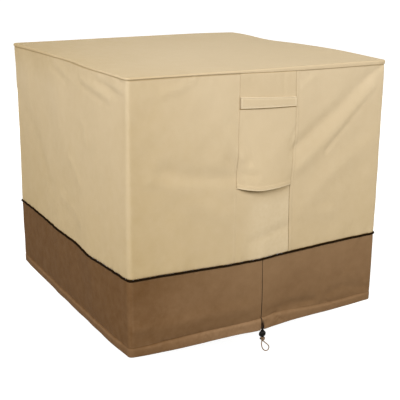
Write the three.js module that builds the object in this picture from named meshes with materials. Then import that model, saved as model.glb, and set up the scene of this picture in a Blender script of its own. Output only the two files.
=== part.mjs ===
// A square fitted cover for an outdoor air conditioner unit: a cloth box, open below, that drops over the unit
// and is drawn in at its hem. Millimetres, +Z up. The origin is under the middle of the top, where the cloth
// rests on the unit, and the front, with its vent hood and cord lock, faces -Y.
//
// A height is given as a drop, the distance down from the top's outer face before the cloth sags. A place
// round the cover is a face (0 front, 1 right, 2 back, 3 left) and t, the distance from that face's middle,
// counted anticlockwise as seen from above.

import * as THREE from "three";

// Driving sizes
const SIDE = 868; // width and depth over the walls
const PIPING_DROP = 549;
const HEM_DROP = 778;
const HALFWAY_DROP = 275;
const CLOTH = 2;
const GAP = 0.3; // between two pieces that touch
const CORNER_RADIUS = 10; // of the walls' upright corners
const FOLD_RADIUS = 5; // of the top's edge
const HEM_HEIGHT = 28;
const HEM_CLOTH = 3; // the hem is turned up, so it is thicker than one layer
const PIPING_WIDTH = 5;
const PIPING_PROUD = 0.6; // the middle of the piping stands this far outside the walls
const STRAP_THICK = 3;
const CORD_WIDTH = 3.2;

const HALF = SIDE / 2;
const STRAIGHT = HALF - CORNER_RADIUS; // how far a wall runs straight, either way from its middle
const FRONT = 0;
const RIGHT = 1;
const BACK = 2;
const LEFT = 3;
const FACES = 4;

// The colour, roughness and metalness of each cloth and fitting
const finish = (color, roughness) => new THREE.MeshStandardMaterial({ color, roughness, metalness: 0 });
const KHAKI = finish(0xd6c29b, 0.85);
const BROWN = finish(0x765840, 0.85);
const DARK_BROWN = finish(0x2e2018, 0.7);
const BLACK = finish(0x0c0c0d, 0.45);
const TAN = finish(0x8a6b4e, 0.9);

// Rows of numbers under named columns become objects.
const table = (columns, rows) =>
  rows.map((row) => Object.fromEntries(columns.split(" ").map((name, i) => [name, row[i]])));

const lerp = THREE.MathUtils.lerp;
const smooth = THREE.MathUtils.smoothstep;

// How each face hangs. rise lifts the top's edge, the top, halfway, piping and hem columns push the cloth
// outwards at those heights, the two sags let it down, and lip is the drop of the seam under the rolled edge.
const HANG_COLUMNS = "t rise top halfway piping hem pipingSag hemSag lip";
const HANG = [
  table(HANG_COLUMNS, [
    [-434, 1, 0, 0, 0, 2, 1.5, 3.2, 6.5],
    [-330, 0, 0, 2, 4.5, 8, 3.2, 5.5, 6.5],
    [-205, 0, 0, 4, 8, 12, 6.4, 6.2, 7],
    [-100, 0, 0, 6, 10.5, 13, 8.6, 6.8, 8],
    [-10, 0, 0, 7.5, 12, 16.5, 10, 9, 9.5],
    [55, 0, 0, 7.5, 9.5, 11, 7.8, 7.9, 11],
    [155, 0, 0, 3, 6.5, 6.5, 5, 6, 12.5],
    [310, 0, 0, 1, 4, 6, 3.2, 4, 13],
    [434, -1, -1, 1, 3, 4, 2.5, 2.5, 12],
  ]),
  table(HANG_COLUMNS, [
    [-434, -1, -1, 1, 3, 4, 2.5, 2.5, 12],
    [-190, 4, 0, 4, 7, 9, 5, 5, 10],
    [10, 1.5, 0, 6, 10, 13, 7, 7, 11],
    [195, -3.5, 0, 3, 7, 10, 6, 5, 10],
    [350, 0.7, 0, 0, 3, 5, 2, 3, 10],
    [434, 0, 0, -2, 0, 1, 1, 1, 10],
  ]),
  table(HANG_COLUMNS, [
    [-434, 0, 0, -2, 0, 1, 1, 1, 10],
    [-300, 2.5, 0, 2, 5, 8, 3, 4, 9],
    [-90, 2.5, 0, 7, 11, 12, 8, 7, 11],
    [110, 2, 0, 5, 8, 13, 6, 7, 10],
    [270, 1, 1, 1, 4, 6, 3, 3, 9],
    [434, 0.5, 2, -2.5, -1, -2, 0, -2.5, 9],
  ]),
  table(HANG_COLUMNS, [
    [-434, 0.5, 2, -2.5, -1, -2, 0, -2.5, 9],
    [-270, 2.5, 0, -1, 0.5, 0.5, 0.5, -0.5, 8],
    [-80, 4, 0, 3, 5, 2.5, 3.4, 2, 7],
    [70, 5, 0, 3, 4.5, 3.5, 3.4, 2.6, 6.5],
    [200, 0.5, 0, 6, 11, 5.5, 5.6, 3, 6.5],
    [306, 1, 0, 3, 6, 4.5, 3.4, 3, 6.5],
    [434, 1, 0, 0, 0, 2, 1.5, 3.2, 6.5],
  ]),
];

// Creases in the cloth, each along a path from one place by a second to a third. start and end are how far
// it stands out (or, below zero, is drawn in) at its two ends, and width is its width at half that depth.
const CREASES = table("face fromT fromDrop byT byDrop toT toDrop start end width", [
  [FRONT, 377, 16, 219, 111, 112, 216, -1.5, -6.5, 36],
  [FRONT, 395, 44, 250, 152, 122, 268, 0.5, 4.5, 26],
  [FRONT, 407, 72, 269, 200, 128, 309, -1.5, -4.5, 22],
  [FRONT, 400, 130, 280, 245, 140, 350, 0.5, 2.5, 40],
  [FRONT, 101, 120, 103, 165, 100, 200, 2, 5, 34],
  [FRONT, 167, 33, 145, 55, 120, 77, -1, -2, 16],
  [FRONT, -134, 164, -113, 209, -97, 246, 2, 3.5, 26],
  [FRONT, -396, 237, -213, 252, -100, 276, -1.5, -2.5, 42],
  [FRONT, -288, 56, -250, 36, -216, 20, -1.5, -1.5, 22],
  [FRONT, 247, 385, 190, 402, 136, 417, 1, 2.5, 44],
  [FRONT, 16, 752, 66, 733, 205, 735, -4, -1.5, 15],
  [FRONT, -60, 765, -190, 745, -330, 752, -1.5, -2, 18],
  [RIGHT, -395, 30, -280, 130, -170, 210, -1.5, -4, 34],
  [RIGHT, 390, 40, 270, 160, 200, 300, -1.5, -3.5, 36],
  [RIGHT, -60, 300, 30, 330, 150, 320, 1, 2.5, 50],
  [RIGHT, 120, 640, 140, 700, 130, 770, -1, -3, 30],
  [BACK, -380, 30, -250, 120, -160, 240, -1.5, -4, 34],
  [BACK, 60, 20, 70, 180, 50, 360, -1, -2.5, 40],
  [BACK, 385, 60, 300, 190, 230, 290, -1.5, -3.5, 32],
  [BACK, -150, 630, -170, 700, -160, 775, -1, -3, 30],
  [LEFT, 7, 21, 150, 42, 328, 75, -1.5, -2.5, 22],
  [LEFT, 330, 34, 370, 42, 407, 49, -1.5, -1, 16],
  [LEFT, -107, 16, -77, 34, -47, 51, -1.5, -1.5, 16],
  [LEFT, -380, 170, -230, 300, -120, 420, -1, -2, 48],
]);

// The two upright seams of the front, either side of the vent
const SEAMS = table("drop left right", [
  [0, -88, 98],
  [85, -89, 100],
  [150, -90, 102],
  [215, -92, 101],
  [260, -93, 95],
  [350, -96, 88],
  [549, -101, 92],
]);

// The hood's lower edge, at shares of the way from its left seam to its right seam: lift is how far it
// stands off the strip behind it.
const MOUTH = table("share drop lift", [
  [0, 328, 0.6],
  [0.15, 333, 9],
  [0.35, 338, 14.5],
  [0.6, 339, 13],
  [0.85, 339, 6],
  [1, 339, 0.6],
]);
const LIFT_FROM_DROP = 118; // above this the hood lies against the strip
const LIFT_POWER = 1.6; // the lift grows slowly at first
const HOOD_HEM = 12;

// The strap across the hood: its upper and lower edge at its left and right end
const STRAP = { leftTop: 72, leftBottom: 104, rightTop: 84, rightBottom: 111, bow: 2 };

// The slit in the hem where the drawcord comes out
const SLIT = { apex: -2, left: -5, right: 9, topDrop: 752 };

// Curves through a table's rows
function curve(rows, at, value) {
  const spline = new THREE.CubicInterpolant(
    rows.map((row) => row[at]),
    rows.map((row) => row[value]),
    1,
    new Float64Array(1),
  );
  return (x) => spline.evaluate(x)[0];
}

const hang = HANG.map((rows) =>
  Object.fromEntries(
    HANG_COLUMNS.split(" ")
      .slice(1)
      .map((column) => [column, curve(rows, "t", column)]),
  ),
);
const seamLeft = curve(SEAMS, "drop", "left");
const seamRight = curve(SEAMS, "drop", "right");
const mouthDrop = curve(MOUTH, "share", "drop");
const mouthLift = curve(MOUTH, "share", "lift");

// How far the creases of one face push a place outwards
function creasePush(face, t, drop) {
  const halfDepthFall = 4 * Math.LN2; // makes the width the one at half the depth
  let push = 0;
  for (const c of CREASES.filter((crease) => crease.face === face)) {
    const path = [
      new THREE.Vector2(c.fromT, c.fromDrop),
      new THREE.Vector2(c.byT, c.byDrop),
      new THREE.Vector2(c.toT, c.toDrop),
    ];
    const place = new THREE.Vector2(t, drop);
    let nearest = Infinity;
    let depth = 0;
    for (const leg of [0, 1]) {
      const run = path[leg + 1].clone().sub(path[leg]);
      const along = THREE.MathUtils.clamp(place.clone().sub(path[leg]).dot(run) / run.lengthSq(), 0, 1);
      const distance = place.distanceTo(path[leg].clone().addScaledVector(run, along));
      if (distance < nearest) {
        nearest = distance;
        depth = lerp(c.start, c.end, (leg + along) / 2);
      }
    }
    push += depth * Math.exp(-halfDepthFall * (nearest / c.width) ** 2);
  }
  return push;
}

// How far out and down the hanging cloth is, at one place of one face
function hangAt(face, t, drop) {
  const h = hang[face];
  const bulge = curve(
    [
      { drop: 0, out: h.top(t) },
      { drop: HALFWAY_DROP, out: h.halfway(t) },
      { drop: PIPING_DROP, out: h.piping(t) },
      { drop: HEM_DROP, out: h.hem(t) },
    ],
    "drop",
    "out",
  );
  const sag =
    drop < PIPING_DROP
      ? lerp(-h.rise(t), h.pipingSag(t), drop / PIPING_DROP)
      : lerp(h.pipingSag(t), h.hemSag(t), (drop - PIPING_DROP) / (HEM_DROP - PIPING_DROP));
  return { out: bulge(drop) + creasePush(face, t, drop), sag };
}

// The direction that a face looks in, with a turn between 0 and 1 round the corner at its end
function lookOut(face, turn) {
  const angle = ((face + turn - 1) * Math.PI) / 2;
  return new THREE.Vector3(Math.cos(angle), Math.sin(angle), 0);
}

// A point of the cover. column says where it is round the cover, and proud how far outside the walls' outer
// face it lies. A column's t may change with the drop, as at a seam.
function skin(column, drop, proud) {
  const { face, turn = 0 } = column;
  const t = typeof column.t === "function" ? column.t(drop) : column.t;
  const normal = lookOut(face, turn);
  const here = hangAt(face, t, drop);
  let point;
  if (turn > 0) {
    const beyond = hangAt((face + 1) % FACES, -t, drop);
    here.out = lerp(here.out, beyond.out, turn);
    here.sag = lerp(here.sag, beyond.sag, turn);
    point = lookOut(face, 0).multiplyScalar(STRAIGHT).addScaledVector(lookOut(face, 1), STRAIGHT);
    point.addScaledVector(normal, CORNER_RADIUS);
  } else {
    point = normal.clone().multiplyScalar(HALF).addScaledVector(lookOut(face, 1), t);
  }
  point.addScaledVector(normal, here.out + proud);
  point.z = CLOTH - drop - here.sag;
  return point;
}

// The columns of points that every band shares, closer together where the cloth is creased. leans says
// where the creases run down to the left, and so the diagonals between the columns do.
const STATIONS = table("face from to steps leans", [
  [FRONT, -STRAIGHT, -88, 9, false],
  [FRONT, -88, SLIT.left, 3, false],
  [FRONT, SLIT.left, SLIT.apex, 1, false],
  [FRONT, SLIT.apex, SLIT.right, 1, false],
  [FRONT, SLIT.right, 98, 3, false],
  [FRONT, 98, 290, 11, true],
  [FRONT, 290, STRAIGHT, 5, true],
  [RIGHT, -STRAIGHT, 0, 5, false],
  [RIGHT, 0, STRAIGHT, 5, true],
  [BACK, -STRAIGHT, 0, 5, false],
  [BACK, 0, STRAIGHT, 5, true],
  [LEFT, -STRAIGHT, STRAIGHT, 17, false],
]);
const CORNER_STEPS = 3;

function roundColumns() {
  const columns = [];
  STATIONS.forEach(({ face, from, to, steps, leans }, i) => {
    for (let k = 0; k < steps; k++) columns.push({ face, t: lerp(from, to, k / steps), leans });
    const faceEnds = STATIONS[(i + 1) % STATIONS.length].face !== face;
    if (!faceEnds) return;
    columns.push({ face, t: to, leans });
    for (let k = 1; k < CORNER_STEPS; k++) columns.push({ face, t: HALF, turn: k / CORNER_STEPS, leans });
  });
  return columns;
}
const COLUMNS = roundColumns();

// A mesh from points and triangles
function solid(name, points, triangles, material) {
  const geometry = new THREE.BufferGeometry();
  geometry.setAttribute("position", new THREE.Float32BufferAttribute(points.flatMap((p) => [p.x, p.y, p.z]), 3));
  geometry.setIndex(triangles);
  geometry.computeVertexNormals();
  const mesh = new THREE.Mesh(geometry, material);
  mesh.name = name;
  return mesh;
}

// The triangles between neighbouring sections of equal length. A ring of sections meets itself, and a
// section that wraps runs on from its last point to its first. Outer and inner faces are split along the same
// diagonals, so that a sheet has the same thickness all over and lies parallel to the sheet beside it.
function between(columns, length, ring, wraps) {
  const triangles = [];
  const count = columns.length;
  for (let s = 0; s < (ring ? count : count - 1); s++) {
    const here = s * length;
    const next = ((s + 1) % count) * length;
    const leans = columns[s].leans ?? false;
    for (let i = 0; i < (wraps ? length : length - 1); i++) {
      const j = (i + 1) % length;
      if (i < length / 2 !== leans) triangles.push(here + i, here + j, next + j, here + i, next + j, next + i);
      else triangles.push(here + i, here + j, next + i, here + j, next + j, next + i);
    }
  }
  return triangles;
}

// The flat ends of an open run of sections, each of which goes down its outer face and back up its inner one
function ends(count, length) {
  const triangles = [];
  const last = (count - 1) * length;
  for (let i = 0; i < length / 2 - 1; i++) {
    const inner = length - 1 - i;
    triangles.push(i, inner, inner - 1, i, inner - 1, i + 1);
    triangles.push(last + i, last + i + 1, last + inner - 1, last + i, last + inner - 1, last + inner);
  }
  return triangles;
}

// A solid from columns and the section at each of them
function band(name, columns, sectionAt, ring, material) {
  const sections = columns.map(sectionAt);
  const length = sections[0].length;
  const triangles = between(columns, length, ring, true);
  if (!ring) triangles.push(...ends(sections.length, length));
  return solid(name, sections.flat(), triangles, material);
}

// One upright section of a sheet, from its rows of drop, proud and thickness
function sheetSection(column, rows) {
  const outer = rows.map((row) => skin(column, row.drop, row.proud));
  const inner = rows.map((row) => skin(column, row.drop, row.proud - row.thick));
  return [...outer, ...inner.reverse()];
}

const LIP_PROUD = GAP + CLOTH; // the rolled edge and the strip below it lie outside the walls

// The top, with its edge rolled over
function topPanel() {
  const rings = [0.4, 0.66, 0.86]; // shares of the way from the middle to the edge
  const bend = (angle, radius) => ({
    drop: FOLD_RADIUS - radius * Math.sin(angle),
    proud: LIP_PROUD - FOLD_RADIUS + radius * Math.cos(angle),
  });
  const bendAngles = [Math.PI / 2, Math.PI / 4, 0];
  const face = (column, thick) => {
    const edge = bendAngles.map((angle) => bend(angle, FOLD_RADIUS - thick));
    const rolled = edge.map((e) => skin(column, e.drop, e.proud));
    const flat = rings.map((share) => {
      const point = rolled[0].clone().multiplyScalar(share);
      const level = CLOTH - thick;
      point.z = level + (rolled[0].z - level) * smooth(share, rings[0], 1);
      return point;
    });
    return [...flat, ...rolled];
  };
  const sections = COLUMNS.map((column) => [...face(column, 0), ...face(column, CLOTH).reverse()]);
  const length = sections[0].length;
  const points = sections.flat();
  const triangles = between(COLUMNS, length, true, false);
  const above = points.push(new THREE.Vector3(0, 0, CLOTH)) - 1;
  const below = points.push(new THREE.Vector3(0, 0, 0)) - 1;
  sections.forEach((_, s) => {
    const here = s * length;
    const next = ((s + 1) % sections.length) * length;
    triangles.push(above, here, next, below, next + length - 1, here + length - 1);
  });
  return solid("top_panel", points, triangles, KHAKI);
}

// The narrow strip under the rolled edge, down to the seam
function lipStrip() {
  const sectionAt = (column) => {
    const drops = [FOLD_RADIUS + GAP, hang[column.face].lip(column.t)];
    return sheetSection(
      column,
      drops.map((drop) => ({ drop, proud: LIP_PROUD, thick: CLOTH })),
    );
  };
  return band("lip_strip", COLUMNS, sectionAt, true, KHAKI);
}

// The walls and the strip between them end just above the piping, and start inside the rolled edge.
const WALL_TOP = FOLD_RADIUS;
const WALL_BOTTOM = PIPING_DROP - PIPING_WIDTH / 2 - GAP;
const WALL_DROPS = [
  WALL_TOP, 14, 30, 50, 72, 95, 118, 140, 162, 184, 206, 228, 250, 275, 302, 340, 385, 435, 490, WALL_BOTTOM,
];
const wallRows = WALL_DROPS.map((drop) => ({ drop, proud: 0, thick: CLOTH }));

function wallBand() {
  const first = COLUMNS.findIndex(({ face, t }) => face === FRONT && t > seamRight(0));
  const last = COLUMNS.findIndex(({ face, t }) => face === FRONT && t >= seamLeft(0));
  const columns = [
    { face: FRONT, t: (drop) => seamRight(drop) + GAP / 2, leans: true },
    ...COLUMNS.slice(first),
    ...COLUMNS.slice(0, last),
    { face: FRONT, t: (drop) => seamLeft(drop) - GAP / 2 },
  ];
  return band("wall_band", columns, (column) => sheetSection(column, wallRows), false, KHAKI);
}

// Columns between the two seams, which the strip, the hood and its strap share
const VENT_STEPS = 10;
const VENT_COLUMNS = Array.from({ length: VENT_STEPS + 1 }, (_, k) => {
  const share = k / VENT_STEPS;
  const t = (drop) => lerp(seamLeft(drop) + GAP / 2, seamRight(drop) - GAP / 2, share);
  return { face: FRONT, share, t };
});

function ventStrip() {
  return band("vent_strip", VENT_COLUMNS, (column) => sheetSection(column, wallRows), false, KHAKI);
}

// The hood over the strip, sewn at its top and sides, with its lower edge standing off
function ventFlap() {
  const hemStep = 1; // the hem thickens within this height
  const highestHem = Math.min(...MOUTH.map(({ drop }) => drop)) - HOOD_HEM;
  const sectionAt = (column) => {
    const top = hang[FRONT].lip(column.t(0)) + GAP;
    const bottom = mouthDrop(column.share);
    const hemTop = bottom - HOOD_HEM;
    const row = (drop, thick) => {
      const share = Math.max(drop - LIFT_FROM_DROP, 0) / (bottom - LIFT_FROM_DROP);
      const lift = mouthLift(column.share) * share ** LIFT_POWER;
      return { drop, proud: GAP + lift + thick, thick };
    };
    const between = WALL_DROPS.filter((drop) => drop > top && drop < highestHem);
    return sheetSection(column, [
      ...[top, ...between, hemTop].map((drop) => row(drop, CLOTH)),
      row(hemTop + hemStep, HEM_CLOTH),
      row(bottom, HEM_CLOTH),
    ]);
  };
  return band("vent_flap", VENT_COLUMNS, sectionAt, false, KHAKI);
}

function handleStrap() {
  const sectionAt = (column) => {
    const top = lerp(STRAP.leftTop, STRAP.rightTop, column.share);
    const bottom = lerp(STRAP.leftBottom, STRAP.rightBottom, column.share);
    const bow = STRAP.bow * Math.sin(Math.PI * column.share);
    const proud = GAP + CLOTH + GAP + bow + STRAP_THICK;
    const rows = [top, (top + bottom) / 2, bottom].map((drop) => ({ drop, proud, thick: STRAP_THICK }));
    return sheetSection(column, rows);
  };
  return band("handle_strap", VENT_COLUMNS, sectionAt, false, KHAKI);
}

// The dark piping in the seam between the walls and the skirt
function piping() {
  const sides = 8;
  const radius = PIPING_WIDTH / 2 / Math.cos(Math.PI / sides);
  const sectionAt = (column) => {
    const middle = skin(column, PIPING_DROP, PIPING_PROUD);
    const normal = lookOut(column.face, column.turn ?? 0);
    return Array.from({ length: sides }, (_, k) => {
      const angle = ((0.5 - k) * 2 * Math.PI) / sides;
      const point = middle.clone().addScaledVector(normal, radius * Math.cos(angle));
      point.z += radius * Math.sin(angle);
      return point;
    });
  };
  return band("piping", COLUMNS, sectionAt, true, DARK_BROWN);
}

// The brown band below the piping, with its hem and the slit in it
function skirt() {
  const top = PIPING_DROP + PIPING_WIDTH / 2 + GAP;
  const hemTop = HEM_DROP - HEM_HEIGHT;
  const hemStep = 2; // the hem thickens within this height
  const hemProud = (HEM_CLOTH - CLOTH) / 2;
  const bodyDrops = [top, 575, 610, 650, 690, 725, hemTop];
  const hemDrops = [hemTop + hemStep, HEM_DROP - HEM_HEIGHT / 2, HEM_DROP];
  const sectionAt = (column) => {
    const atSlit = column.face === FRONT && column.t === SLIT.apex;
    const hemShare = atSlit ? (SLIT.topDrop - hemTop) / HEM_HEIGHT : 1;
    return sheetSection(column, [
      ...bodyDrops.map((drop) => ({ drop, proud: 0, thick: CLOTH })),
      ...hemDrops.map((drop) => ({
        drop: lerp(hemTop, drop, hemShare),
        proud: hemProud,
        thick: HEM_CLOTH,
      })),
    ]);
  };
  return band("skirt", COLUMNS, sectionAt, true, BROWN);
}

// The drawcord outside the hem. It comes out of the slit as two strands, goes through the lock and a knot,
// and ends in one loop. Places are x and z, and the whole cord hangs at the hem's own distance from the wall.
const CORD_Y = -450;
const NECK = { topX: 1.9, topZ: -775, bottomX: 1.9, bottomZ: -785.4, shift: 2.4 };
const LOCK = { x: 2.4, topZ: -785.9, wide: 23.5, deep: 15, height: 21 };
const KNOT = { x: 3.2, middleZ: -814.4, wide: 15.5, deep: 12, height: 14.5 };
const LOOP_ROUTE = [
  [1.6, -822.2],
  [0.9, -826.5],
  [0.9, -831.5],
  [1.9, -838],
  [4.2, -844.5],
  [8, -850.8],
  [13.2, -855.6],
  [19, -857.8],
  [24.4, -857],
  [28, -853],
  [28.8, -847.8],
  [26.8, -842.6],
  [22.6, -837.6],
  [17.6, -832.8],
  [12.4, -828],
  [8, -823.4],
  [6.6, -821.6],
];

// A round cord along a route of points, with flat ends
function cordTube(name, points, steps) {
  const sides = 8;
  const section = new THREE.Shape();
  for (let k = 0; k < sides; k++) {
    const angle = (2 * Math.PI * (k + 0.5)) / sides;
    const place = [(CORD_WIDTH / 2) * Math.cos(angle), (CORD_WIDTH / 2) * Math.sin(angle)];
    if (k === 0) section.moveTo(...place);
    else section.lineTo(...place);
  }
  const geometry = new THREE.ExtrudeGeometry(section, {
    steps,
    extrudePath: new THREE.CatmullRomCurve3(points),
  });
  const mesh = new THREE.Mesh(geometry, TAN);
  mesh.name = name;
  return mesh;
}

function cordNeck(name, side) {
  const middleX = LOCK.x - NECK.shift;
  const top = new THREE.Vector3(middleX + side * NECK.topX, CORD_Y, NECK.topZ);
  const bottom = new THREE.Vector3(LOCK.x + side * NECK.bottomX, CORD_Y, NECK.bottomZ);
  return cordTube(name, [top, bottom], 3);
}

function cordLoop() {
  const steps = 44;
  const points = LOOP_ROUTE.map(([x, z]) => new THREE.Vector3(x, CORD_Y, z));
  return cordTube("cord_loop", points, steps);
}

// The lock: a ball body with the end of its plunger above it
function cordLock() {
  const bodyRadius = LOCK.wide / 2;
  const profile = table("radius down", [
    [0, 0],
    [5.2, 0],
    [5.8, 0.8],
    [5.8, 2.6],
    [7.4, 3],
    [bodyRadius * 0.86, 5.2],
    [bodyRadius, 9.2],
    [bodyRadius * 0.94, 13],
    [bodyRadius * 0.74, 16.6],
    [bodyRadius * 0.5, 19.2],
    [4.6, LOCK.height],
    [0, LOCK.height],
  ]);
  const around = 20;
  const points = profile.map(({ radius, down }) => new THREE.Vector2(radius, -down)).reverse();
  const geometry = new THREE.LatheGeometry(points, around);
  geometry.rotateX(Math.PI / 2);
  const mesh = new THREE.Mesh(geometry, BLACK);
  mesh.name = "cord_lock";
  mesh.position.set(LOCK.x, CORD_Y, LOCK.topZ);
  mesh.scale.y = LOCK.deep / LOCK.wide;
  return mesh;
}

// The knot: a rounded lump with the furrows of the cord's turns running slantwise round it
function cordKnot() {
  const geometry = new THREE.SphereGeometry(1, 18, 12);
  const place = geometry.getAttribute("position");
  const furrow = 0.06;
  const turns = 2;
  for (let i = 0; i < place.count; i++) {
    const point = new THREE.Vector3().fromBufferAttribute(place, i);
    const around = Math.atan2(point.z, point.x);
    const width = Math.hypot(point.x, point.z);
    point.multiplyScalar(1 + furrow * width * Math.cos(turns * around + 5 * point.y));
    place.setXYZ(i, point.x, point.y, point.z);
  }
  geometry.rotateX(Math.PI / 2);
  const mesh = new THREE.Mesh(geometry, TAN);
  mesh.name = "cord_knot";
  mesh.position.set(KNOT.x, CORD_Y, KNOT.middleZ);
  mesh.scale.set(KNOT.wide / 2, KNOT.deep / 2, KNOT.height / 2);
  return mesh;
}

const cover = new THREE.Group();
cover.add(topPanel(), lipStrip(), wallBand(), ventStrip(), ventFlap(), handleStrap(), piping(), skirt());
cover.add(cordNeck("cord_neck_left", -1), cordNeck("cord_neck_right", 1));
cover.add(cordLock(), cordKnot(), cordLoop());

export default cover;
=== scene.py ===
# %% [markdown]
# # A fitted cloth cover for an outdoor air conditioner unit
#
# This lesson dresses a finished frame. The frame holds plain solids of every piece at their true places, in
# metres, with +Z up and the front towards -Y. Each solid is replaced here by a finer piece with its own cloth.
# The cover is a square box of cloth, open below: a khaki top whose edge rolls over the walls, a khaki band
# with a vent hood and a strap on the front, dark piping, and a brown skirt whose hem is drawn in by a cord.

# %% Load the frame
import math

import bpy
import numpy as np
from mathutils import Matrix, Vector


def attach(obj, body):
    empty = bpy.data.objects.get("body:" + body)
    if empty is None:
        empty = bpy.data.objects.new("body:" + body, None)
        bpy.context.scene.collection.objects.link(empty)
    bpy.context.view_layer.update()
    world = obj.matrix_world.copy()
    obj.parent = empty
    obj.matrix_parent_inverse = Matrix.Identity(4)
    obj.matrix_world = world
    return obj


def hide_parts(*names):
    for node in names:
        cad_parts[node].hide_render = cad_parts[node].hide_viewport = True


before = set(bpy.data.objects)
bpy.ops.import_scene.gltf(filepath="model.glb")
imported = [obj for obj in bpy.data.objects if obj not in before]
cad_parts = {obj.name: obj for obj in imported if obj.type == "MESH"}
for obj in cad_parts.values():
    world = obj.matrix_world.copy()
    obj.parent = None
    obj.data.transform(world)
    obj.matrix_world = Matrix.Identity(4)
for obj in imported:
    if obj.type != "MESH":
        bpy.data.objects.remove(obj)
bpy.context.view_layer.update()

bpy.ops.object.select_all(action="DESELECT")
MM = 0.001
print("solids:", ", ".join(sorted(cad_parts)))

# %% [markdown]
# ## The camera
#
# The camera comes first, because every later choice is judged through it. It stands to the left of the front
# and a little above, far enough away that the upright edges hardly lean. Its place could be found by eye; here
# the box's corners were matched to a picture, which gives the place, the turns and the lens as numbers.

# %% Place the camera
CAMERA_PLACE = Vector((-1.377, -2.411, 0.344))
CAMERA_AZIMUTH, CAMERA_ELEVATION, CAMERA_ROLL = (math.radians(a) for a in (-30.5, 16.8, 0.69))
CAMERA_LENS = 77.85

back = Vector((
    math.sin(CAMERA_AZIMUTH) * math.cos(CAMERA_ELEVATION),
    -math.cos(CAMERA_AZIMUTH) * math.cos(CAMERA_ELEVATION),
    math.sin(CAMERA_ELEVATION),
))
level_right = Vector((math.cos(CAMERA_AZIMUTH), math.sin(CAMERA_AZIMUTH), 0))
level_up = back.cross(level_right)
right = math.cos(CAMERA_ROLL) * level_right + math.sin(CAMERA_ROLL) * level_up
up = math.cos(CAMERA_ROLL) * level_up - math.sin(CAMERA_ROLL) * level_right

bpy.ops.object.camera_add()
camera = bpy.context.object
camera.name = "camera"
camera.matrix_world = Matrix.Translation(CAMERA_PLACE) @ Matrix((right, up, back)).transposed().to_4x4()
camera.data.lens = CAMERA_LENS
camera.data.clip_end = 200
bpy.context.scene.camera = camera
bpy.ops.object.select_all(action="DESELECT")
print("the camera is", round(CAMERA_PLACE.length, 2), "m from the middle of the top")

# %% [markdown]
# ## The drawcord's route
#
# A free cord is planned before anything is built, because its length is fixed and it can't pass through what
# is around it. This one comes out of a slit in the hem as two strands, goes down through the lock and a knot,
# and ends in one loop that leans to the right. All of it shows, so its length is measured along the route.
# A single open curve with a point every few millimetres is enough: down the left strand, round the loop and
# up the right strand.

# %% Lay out the cord
CORD_WIDTH = 3.2
CORD_Y = -450
NECK = {"topX": 1.9, "topZ": -775, "bottomX": 1.9, "bottomZ": -785.4, "shift": 2.4}
LOCK = {"x": 2.4, "topZ": -785.9, "wide": 23.5, "deep": 15}
KNOT = {"x": 3.2, "middleZ": -814.4, "wide": 15.5, "deep": 12, "height": 14.5}
LOOP_ROUTE = [
    (1.6, -822.2), (0.9, -826.5), (0.9, -831.5), (1.9, -838), (4.2, -844.5), (8, -850.8),
    (13.2, -855.6), (19, -857.8), (24.4, -857), (28, -853), (28.8, -847.8), (26.8, -842.6),
    (22.6, -837.6), (17.6, -832.8), (12.4, -828), (8, -823.4), (6.6, -821.6),
]


def strand(side):
    """The points of one strand, from inside the hem down to the knot."""
    top = LOCK["x"] - NECK["shift"] + side * NECK["topX"]
    bottom = LOCK["x"] + side * NECK["bottomX"]
    knot = 1.6 if side < 0 else 5.2
    return [
        (top + side * 2.5, CORD_Y + 5.5, -761), (top + side * 0.8, CORD_Y + 2.2, -766.5),
        (top, CORD_Y, -772), (top, CORD_Y, NECK["topZ"]), (bottom, CORD_Y, NECK["bottomZ"]),
        (bottom, CORD_Y, -792), (bottom, CORD_Y, -800), (bottom + 0.2, CORD_Y, -807),
        (knot, CORD_Y, -814),
    ]


def along_of(line):
    """How far along a line of points each of them lies."""
    return np.concatenate([[0], np.cumsum(np.linalg.norm(np.diff(line, axis=0), axis=1))])


def sampled(at, along, line):
    """The points at some distances along a line."""
    return np.stack([np.interp(at, along, line[:, k]) for k in range(3)], axis=1)


def through(points, step):
    """A smooth curve through points, as points that lie step millimetres apart."""
    p = np.array(points, float)
    p = np.vstack([2 * p[0] - p[1], p, 2 * p[-1] - p[-2]])
    share = np.linspace(0, 1, 12, endpoint=False)[:, None]
    legs = []
    for a, b, c, d in zip(p[:-3], p[1:-2], p[2:-1], p[3:]):
        legs.append(0.5 * (2 * b + (c - a) * share + (2 * a - 5 * b + 4 * c - d) * share**2
                           + (3 * b - a - 3 * c + d) * share**3))
    line = np.vstack(legs + [p[-2:-1]])
    along = along_of(line)
    return sampled(np.linspace(0, along[-1], max(2, round(along[-1] / step) + 1)), along, line)


cord_line = through(strand(-1) + [(x, CORD_Y, z) for x, z in LOOP_ROUTE] + strand(1)[::-1], 0.4)

# %% [markdown]
# ## The cover's sizes
#
# One set of numbers drives every cloth piece, so that pieces which meet stay in line. A height is given as a
# drop, the distance down from the top's outer face. A place round the cover is a face (0 front, 1 right,
# 2 back, 3 left) and t, the distance from that face's middle, anticlockwise as seen from above.

# %% Sizes in millimetres
SIDE = 868
PIPING_DROP = 549
HEM_DROP = 778
HALFWAY_DROP = 275
CLOTH = 2
GAP = 0.3
CORNER_RADIUS = 10
FOLD_RADIUS = 4.4
HEM_HEIGHT = 28
PIPING_WIDTH = 5
PIPING_PROUD = 0.6
HALF = SIDE / 2
STRAIGHT = HALF - CORNER_RADIUS
FRONT, RIGHT, BACK, LEFT = range(4)
QUARTER = CORNER_RADIUS * math.pi / 2
FACE_RUN = 2 * STRAIGHT + QUARTER
WAY_ROUND = 4 * FACE_RUN
print("the way round the walls is", round(WAY_ROUND), "mm")

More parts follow.
